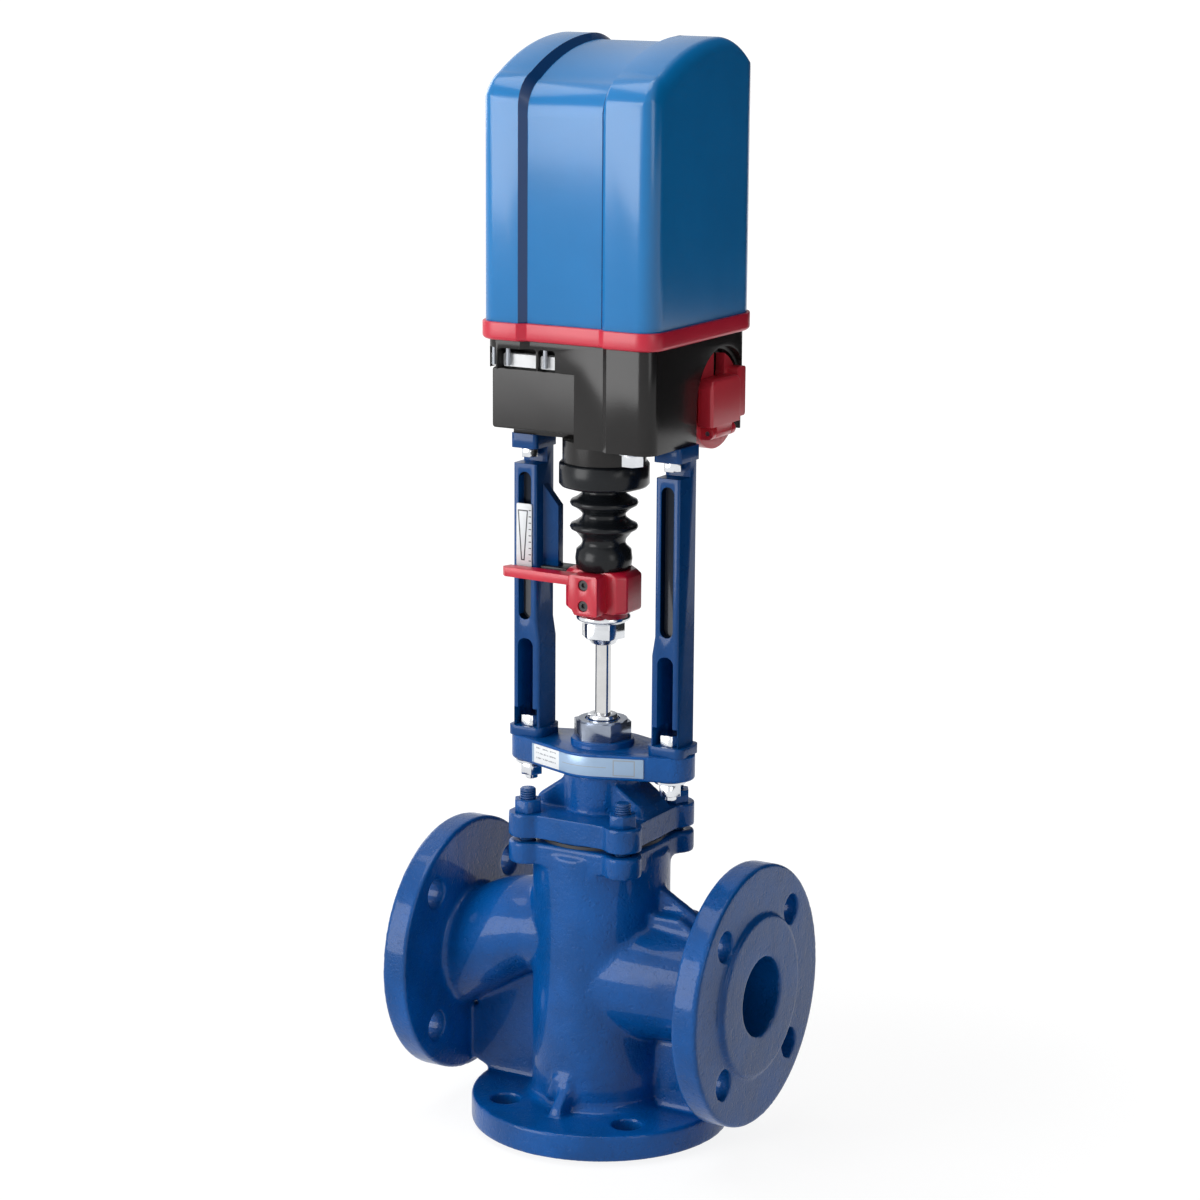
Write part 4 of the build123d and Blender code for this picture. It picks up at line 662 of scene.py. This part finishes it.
def wedge(name, low, high, top):
    """A block between two corners, whose top is drawn in to the given x span."""
    low, high = (Vector([value * MM for value in corner]) for corner in (low, high))
    top_low, top_high = (value * MM for value in top)
    size = high - low
    bpy.ops.object.select_all(action="DESELECT")
    bpy.ops.mesh.primitive_cube_add(size=1.0, location=(low + high) / 2)
    piece = bpy.context.object
    piece.name = name
    piece.scale = size
    bpy.ops.object.transform_apply(location=True, rotation=True, scale=True)
    edit(piece)
    bpy.ops.mesh.select_mode(type="FACE")
    mesh = bmesh.from_edit_mesh(piece.data)
    for face in mesh.faces:
        face.select_set(face.normal.z > 0.5)
    bmesh.update_edit_mesh(piece.data)
    narrow = (top_high - top_low) / size.x
    bpy.ops.transform.resize(value=(narrow, 1.0, 1.0), center_override=(low + high) / 2)
    bpy.ops.transform.translate(value=((top_low + top_high - low.x - high.x) / 2, 0.0, 0.0))
    leave()
    return piece


def join(first, *others):
    """Join the others into the first piece."""
    bpy.ops.object.select_all(action="DESELECT")
    for piece in (first, *others):
        piece.select_set(True)
    bpy.context.view_layer.objects.active = first
    bpy.ops.object.join()


class VALVE_OT_castings(bpy.types.Operator):
    """Model the cast body and bonnet with blended corners"""

    bl_idname = "valve.castings"
    bl_label = "Castings"

    def execute(self, context):
        cell = sizes().cast_cell
        low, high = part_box("valve_body")
        body = merged_copy("valve_body", "cast_body")
        join(body, *(wedge(name, *form) for name, form in FORMS.items()))
        cast_skin(body, cell, low.z + BODY_ENDS[0], high.z - BODY_ENDS[1], BODY_SKIN)
        settle(body, "cast_blue", "valve_body")
        low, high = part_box("bonnet")
        bonnet = merged_copy("bonnet", "cast_bonnet")
        cast_skin(bonnet, cell * 0.85, low.z + BONNET_ENDS[0], high.z - BONNET_ENDS[1], BONNET_SKIN)
        settle(bonnet, "cast_blue", "bonnet")
        return {"FINISHED"}


# Share of the edge rounding that each moulded or cast piece gets
ROUNDED = {
    "yoke_plate": 1.0, "column_left": 1.0, "column_right": 1.0,
    "base_housing": 1.0, "terminal_cover": 0.7, "cover": 0.8, "seal_band": 1.2,
    "coupling_clamp": 1.2, "coupling_jaw": 1.0, "pointer_arm": 0.8, "guide_fork": 0.8,
    "crank_arm": 0.8, "crank_handle": 1.0, "entry_plugs": 0.8, "nameplate": 0.3, "scale_plate": 0.3,
}
# Pieces with the fine rounding
MACHINED = [
    "bonnet_nuts", "foot_bolts", "foot_nuts", "foot_washers", "head_bolts", "housing_bolts", "lock_nut",
    "coupling_washer", "packing_gland", "yoke_clamp_nut", "clamp_screws", "spindle_neck",
]


class VALVE_OT_edges(bpy.types.Operator):
    """Round over the edges of the moulded and machined pieces"""

    bl_idname = "valve.edges"
    bl_label = "Edges"

    def execute(self, context):
        for node, share_of in ROUNDED.items():
            piece = rounded_copy(node, node + "_skin", sizes().edge_round * share_of)
            settle(piece, finish_of(node), node)
        for node in MACHINED:
            piece = rounded_copy(node, node + "_skin", sizes().fine_round, segments=1)
            settle(piece, finish_of(node), node)
        return {"FINISHED"}


BELLOWS_WALL = 1.2 * MM
# Heights of the two folds above the lower cuff, in millimetres
FOLDS = (26.0, 41.0)


class VALVE_OT_bellows(bpy.types.Operator):
    """Model the rubber bellows with its two folds"""

    bl_idname = "valve.bellows"
    bl_label = "Bellows"

    def execute(self, context):
        low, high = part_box("bellows")
        cuff, neck, fold, collar = 16 * MM, 12.2 * MM, 20 * MM, 26.9 * MM
        base, top = low.z, high.z
        profile = [
            (cuff - 3 * MM, base), (cuff - 0.8 * MM, base), (cuff, base + 0.8 * MM),
            (cuff + 0.6 * MM, base + 6 * MM), (cuff, base + 11 * MM), (neck + 1 * MM, base + 13.5 * MM),
            (neck, base + 16 * MM), (neck + 0.6 * MM, base + 19 * MM),
        ]
        for rise in FOLDS:
            profile += [
                (fold - 3 * MM, base + (rise - 2.0) * MM), (fold - 0.3 * MM, base + (rise - 0.6) * MM),
                (fold, base + rise * MM), (fold - 0.3 * MM, base + (rise + 0.6) * MM),
                (fold - 3 * MM, base + (rise + 1.8) * MM), (neck + 0.7 * MM, base + (rise + 5.0) * MM),
                (neck, base + (rise + 7.5) * MM), (neck + 0.7 * MM, base + (rise + 9.5) * MM),
            ]
        profile += [
            (collar - 5 * MM, top - 14.2 * MM), (collar - 0.8 * MM, top - 13.0 * MM),
            (collar, top - 12.0 * MM), (collar, top - 0.8 * MM), (collar - 0.6 * MM, top),
            (collar - 4 * MM, top),
        ]
        piece = turned("bellows_rubber", profile)
        wall = piece.modifiers.new("wall", "SOLIDIFY")
        wall.thickness = BELLOWS_WALL
        wall.offset = -1.0
        apply_all(piece)
        edit(piece)
        bpy.ops.mesh.select_all(action="SELECT")
        bpy.ops.mesh.normals_make_consistent(inside=False)
        leave()
        smooth(piece, 50.0)
        settle(piece, "rubber", "bellows")
        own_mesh(piece)
        return {"FINISHED"}


# Stage

CAMERA_PLACE = (0.991395, -1.736430, 0.784597)
CAMERA_AZIMUTH = 29.787
CAMERA_ELEVATION = 12.502
CAMERA_ROLL = 0.364
CAMERA_LENS = 99.05
CAMERA_SENSOR = 36.0
FLOOR_SIZE = 60.0
# Share of the floor's glow near the object, and where it starts and ends to fill in
FLOOR_GLOW = 0.80
FLOOR_NEAR = 0.22
FLOOR_FAR = 0.75
GLOW_STRENGTH = 1.10
SKY_STRENGTH = 0.25
AIM = Vector((0.0, 0.0, 0.38))
# Place, size and power of each lamp
LAMPS = {
    "lamp_front": ((-1.30, -2.10, 0.88), (1.5, 1.75), 46.0),
    "lamp_right": ((2.60, -1.20, 1.30), (0.9, 1.6), 10.0),
    "lamp_top": ((-0.5, -0.3, 2.60), (1.6, 1.6), 26.0),
    "lamp_back": ((-2.3, 1.0, 1.30), (1.2, 1.4), 14.0),
}
CARD_PLACE = (0.80, 1.30, 0.62)
CARD_SIZE = (2.0, 1.35)
# Direction of the dark flag that the object's right side mirrors
FLAG = Vector((0.62, 0.77, 0.12)).normalized()


def background_rays(tree, rays):
    """1 for the rays that see the white background: from camera, metal and glass."""
    return either(tree, *(rays.outputs[kind] for kind in (
        "Is Camera Ray", "Is Glossy Ray", "Is Transmission Ray",
    )))


def backdrop_material():
    """White to the camera, with the object's shadow near it."""
    material = bpy.data.materials.new("floor_white")
    material.use_nodes = True
    tree = material.node_tree
    shader = tree.nodes["Principled BSDF"]
    shader.inputs["Base Color"].default_value = (0.86, 0.86, 0.86, 1.0)
    shader.inputs["Roughness"].default_value = 0.9
    glow = tree.nodes.new("ShaderNodeEmission")
    glow.inputs["Color"].default_value = (1.0, 1.0, 1.0, 1.0)
    glow.inputs["Strength"].default_value = GLOW_STRENGTH
    seen = background_rays(tree, tree.nodes.new("ShaderNodeLightPath"))
    distance = tree.nodes.new("ShaderNodeVectorMath")
    distance.operation = "LENGTH"
    tree.links.new(object_place(tree), distance.inputs[0])
    away = spread(tree, distance.outputs["Value"], FLOOR_NEAR, FLOOR_FAR)
    glowing = maths(tree, "MULTIPLY_ADD", away, 1.0 - FLOOR_GLOW)
    glowing.node.inputs[2].default_value = FLOOR_GLOW
    mix = tree.nodes.new("ShaderNodeMixShader")
    tree.links.new(maths(tree, "MULTIPLY", seen, glowing), mix.inputs[0])
    tree.links.new(shader.outputs[0], mix.inputs[1])
    tree.links.new(glow.outputs[0], mix.inputs[2])
    tree.links.new(mix.outputs[0], tree.nodes["Material Output"].inputs["Surface"])
    return material


def face_object(piece, place, front):
    """Turn a lamp or card so that its front axis points at the middle of the object."""
    piece.rotation_euler = (AIM - Vector(place)).to_track_quat(front, "Y").to_euler()


def add_lamp(name, place, size, power):
    bpy.ops.object.light_add(type="AREA", location=place)
    lamp = bpy.context.object
    lamp.name = name
    lamp.data.shape = "RECTANGLE"
    lamp.data.size, lamp.data.size_y = size
    lamp.data.energy = power
    face_object(lamp, place, "-Z")


def add_card(name, place, size):
    """A black studio card that only reflections show."""
    bpy.ops.mesh.primitive_plane_add(size=1.0, location=place)
    card = bpy.context.object
    card.name = name
    card.scale = (*size, 1.0)
    face_object(card, place, "Z")
    card.visible_camera = card.visible_shadow = card.visible_diffuse = False
    card.data.materials.append(finish_material("card_black", (0.01, 0.011, 0.013), 0.9))


def studio_world():
    """Soft grey sky for the light, white where the camera, metal and glass see it."""
    world = bpy.data.worlds.new("studio")
    world.use_nodes = True
    tree = world.node_tree
    sky = tree.nodes["Background"]
    sky.inputs["Strength"].default_value = SKY_STRENGTH
    direction = tree.nodes.new("ShaderNodeVectorMath")
    direction.operation = "DOT_PRODUCT"
    tree.links.new(tree.nodes.new("ShaderNodeTexCoord").outputs["Generated"], direction.inputs[0])
    direction.inputs[1].default_value = FLAG
    flagged = spread(tree, direction.outputs["Value"], 0.15, 0.70)
    tree.links.new(mixed(tree, flagged, (0.95, 0.97, 1.0), (0.05, 0.06, 0.08)), sky.inputs["Color"])
    white = tree.nodes.new("ShaderNodeBackground")
    rays = tree.nodes.new("ShaderNodeLightPath")
    mirrored = maths(tree, "MULTIPLY", flagged, rays.outputs["Is Glossy Ray"])
    tree.links.new(mixed(tree, mirrored, (1.0, 1.0, 1.0), (0.04, 0.05, 0.07)), white.inputs["Color"])
    seen = background_rays(tree, rays)
    mix = tree.nodes.new("ShaderNodeMixShader")
    tree.links.new(seen, mix.inputs[0])
    tree.links.new(sky.outputs[0], mix.inputs[1])
    tree.links.new(white.outputs[0], mix.inputs[2])
    tree.links.new(mix.outputs[0], tree.nodes["World Output"].inputs["Surface"])
    return world


def add_camera(scene):
    """Camera at the photo's place, angle and lens."""
    lens = bpy.data.cameras.new("camera")
    camera = bpy.data.objects.new("camera", lens)
    scene.collection.objects.link(camera)
    az, el, roll = radians(CAMERA_AZIMUTH), radians(CAMERA_ELEVATION), radians(CAMERA_ROLL)
    back = Vector((sin(az) * cos(el), -cos(az) * cos(el), sin(el)))
    right = Vector((cos(az), sin(az), 0.0))
    up = back.cross(right)
    turned_right = right * cos(roll) + up * sin(roll)
    turned_up = up * cos(roll) - right * sin(roll)
    turn = Matrix((turned_right, turned_up, back)).transposed().to_4x4()
    camera.matrix_world = Matrix.Translation(CAMERA_PLACE) @ turn
    lens.lens = CAMERA_LENS
    lens.sensor_width = CAMERA_SENSOR
    lens.clip_start, lens.clip_end = 0.05, 80.0
    return camera


class VALVE_OT_stage(bpy.types.Operator):
    """Set the floor, lamps, sky and camera"""

    bl_idname = "valve.stage"
    bl_label = "Stage"

    def execute(self, context):
        scene = context.scene
        bpy.ops.object.select_all(action="DESELECT")
        bpy.ops.mesh.primitive_plane_add(size=FLOOR_SIZE, location=(0.0, 0.0, 0.0))
        floor = context.object
        floor.name = "floor"
        floor.data.materials.append(backdrop_material())
        for name, values in LAMPS.items():
            add_lamp(name, *values)
        add_card("card_right", CARD_PLACE, CARD_SIZE)
        scene.world = studio_world()
        scene.camera = add_camera(scene)
        scene.view_settings.view_transform = "Standard"
        return {"FINISHED"}


class VALVE_PT_panel(bpy.types.Panel):
    """Lists the steps of the valve"""

    bl_idname = "VALVE_PT_panel"
    bl_label = "Valve"
    bl_space_type = "VIEW_3D"
    bl_region_type = "UI"
    bl_category = "Valve"

    def draw(self, context):
        for step in STEPS:
            self.layout.operator(step)
        for group in (context.scene.valve_paints, context.scene.valve_sizes):
            for name in group.__annotations__:
                self.layout.prop(group, name)


STEPS = ["valve.finishes", "valve.castings", "valve.edges", "valve.bellows", "valve.stage"]
CLASSES = [
    ValvePaints, ValveSizes, VALVE_OT_finishes, VALVE_OT_castings, VALVE_OT_edges, VALVE_OT_bellows,
    VALVE_OT_stage, VALVE_PT_panel,
]


def register():
    for each in CLASSES:
        bpy.utils.register_class(each)
    bpy.types.Scene.valve_paints = bpy.props.PointerProperty(type=ValvePaints)
    bpy.types.Scene.valve_sizes = bpy.props.PointerProperty(type=ValveSizes)


def unregister():
    del bpy.types.Scene.valve_sizes
    del bpy.types.Scene.valve_paints
    for each in reversed(CLASSES):
        bpy.utils.unregister_class(each)


def main():
    register()
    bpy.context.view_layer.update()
    for step in STEPS:
        group, name = step.split(".")
        getattr(getattr(bpy.ops, group), name)()


if __name__ == "__main__":
    main()
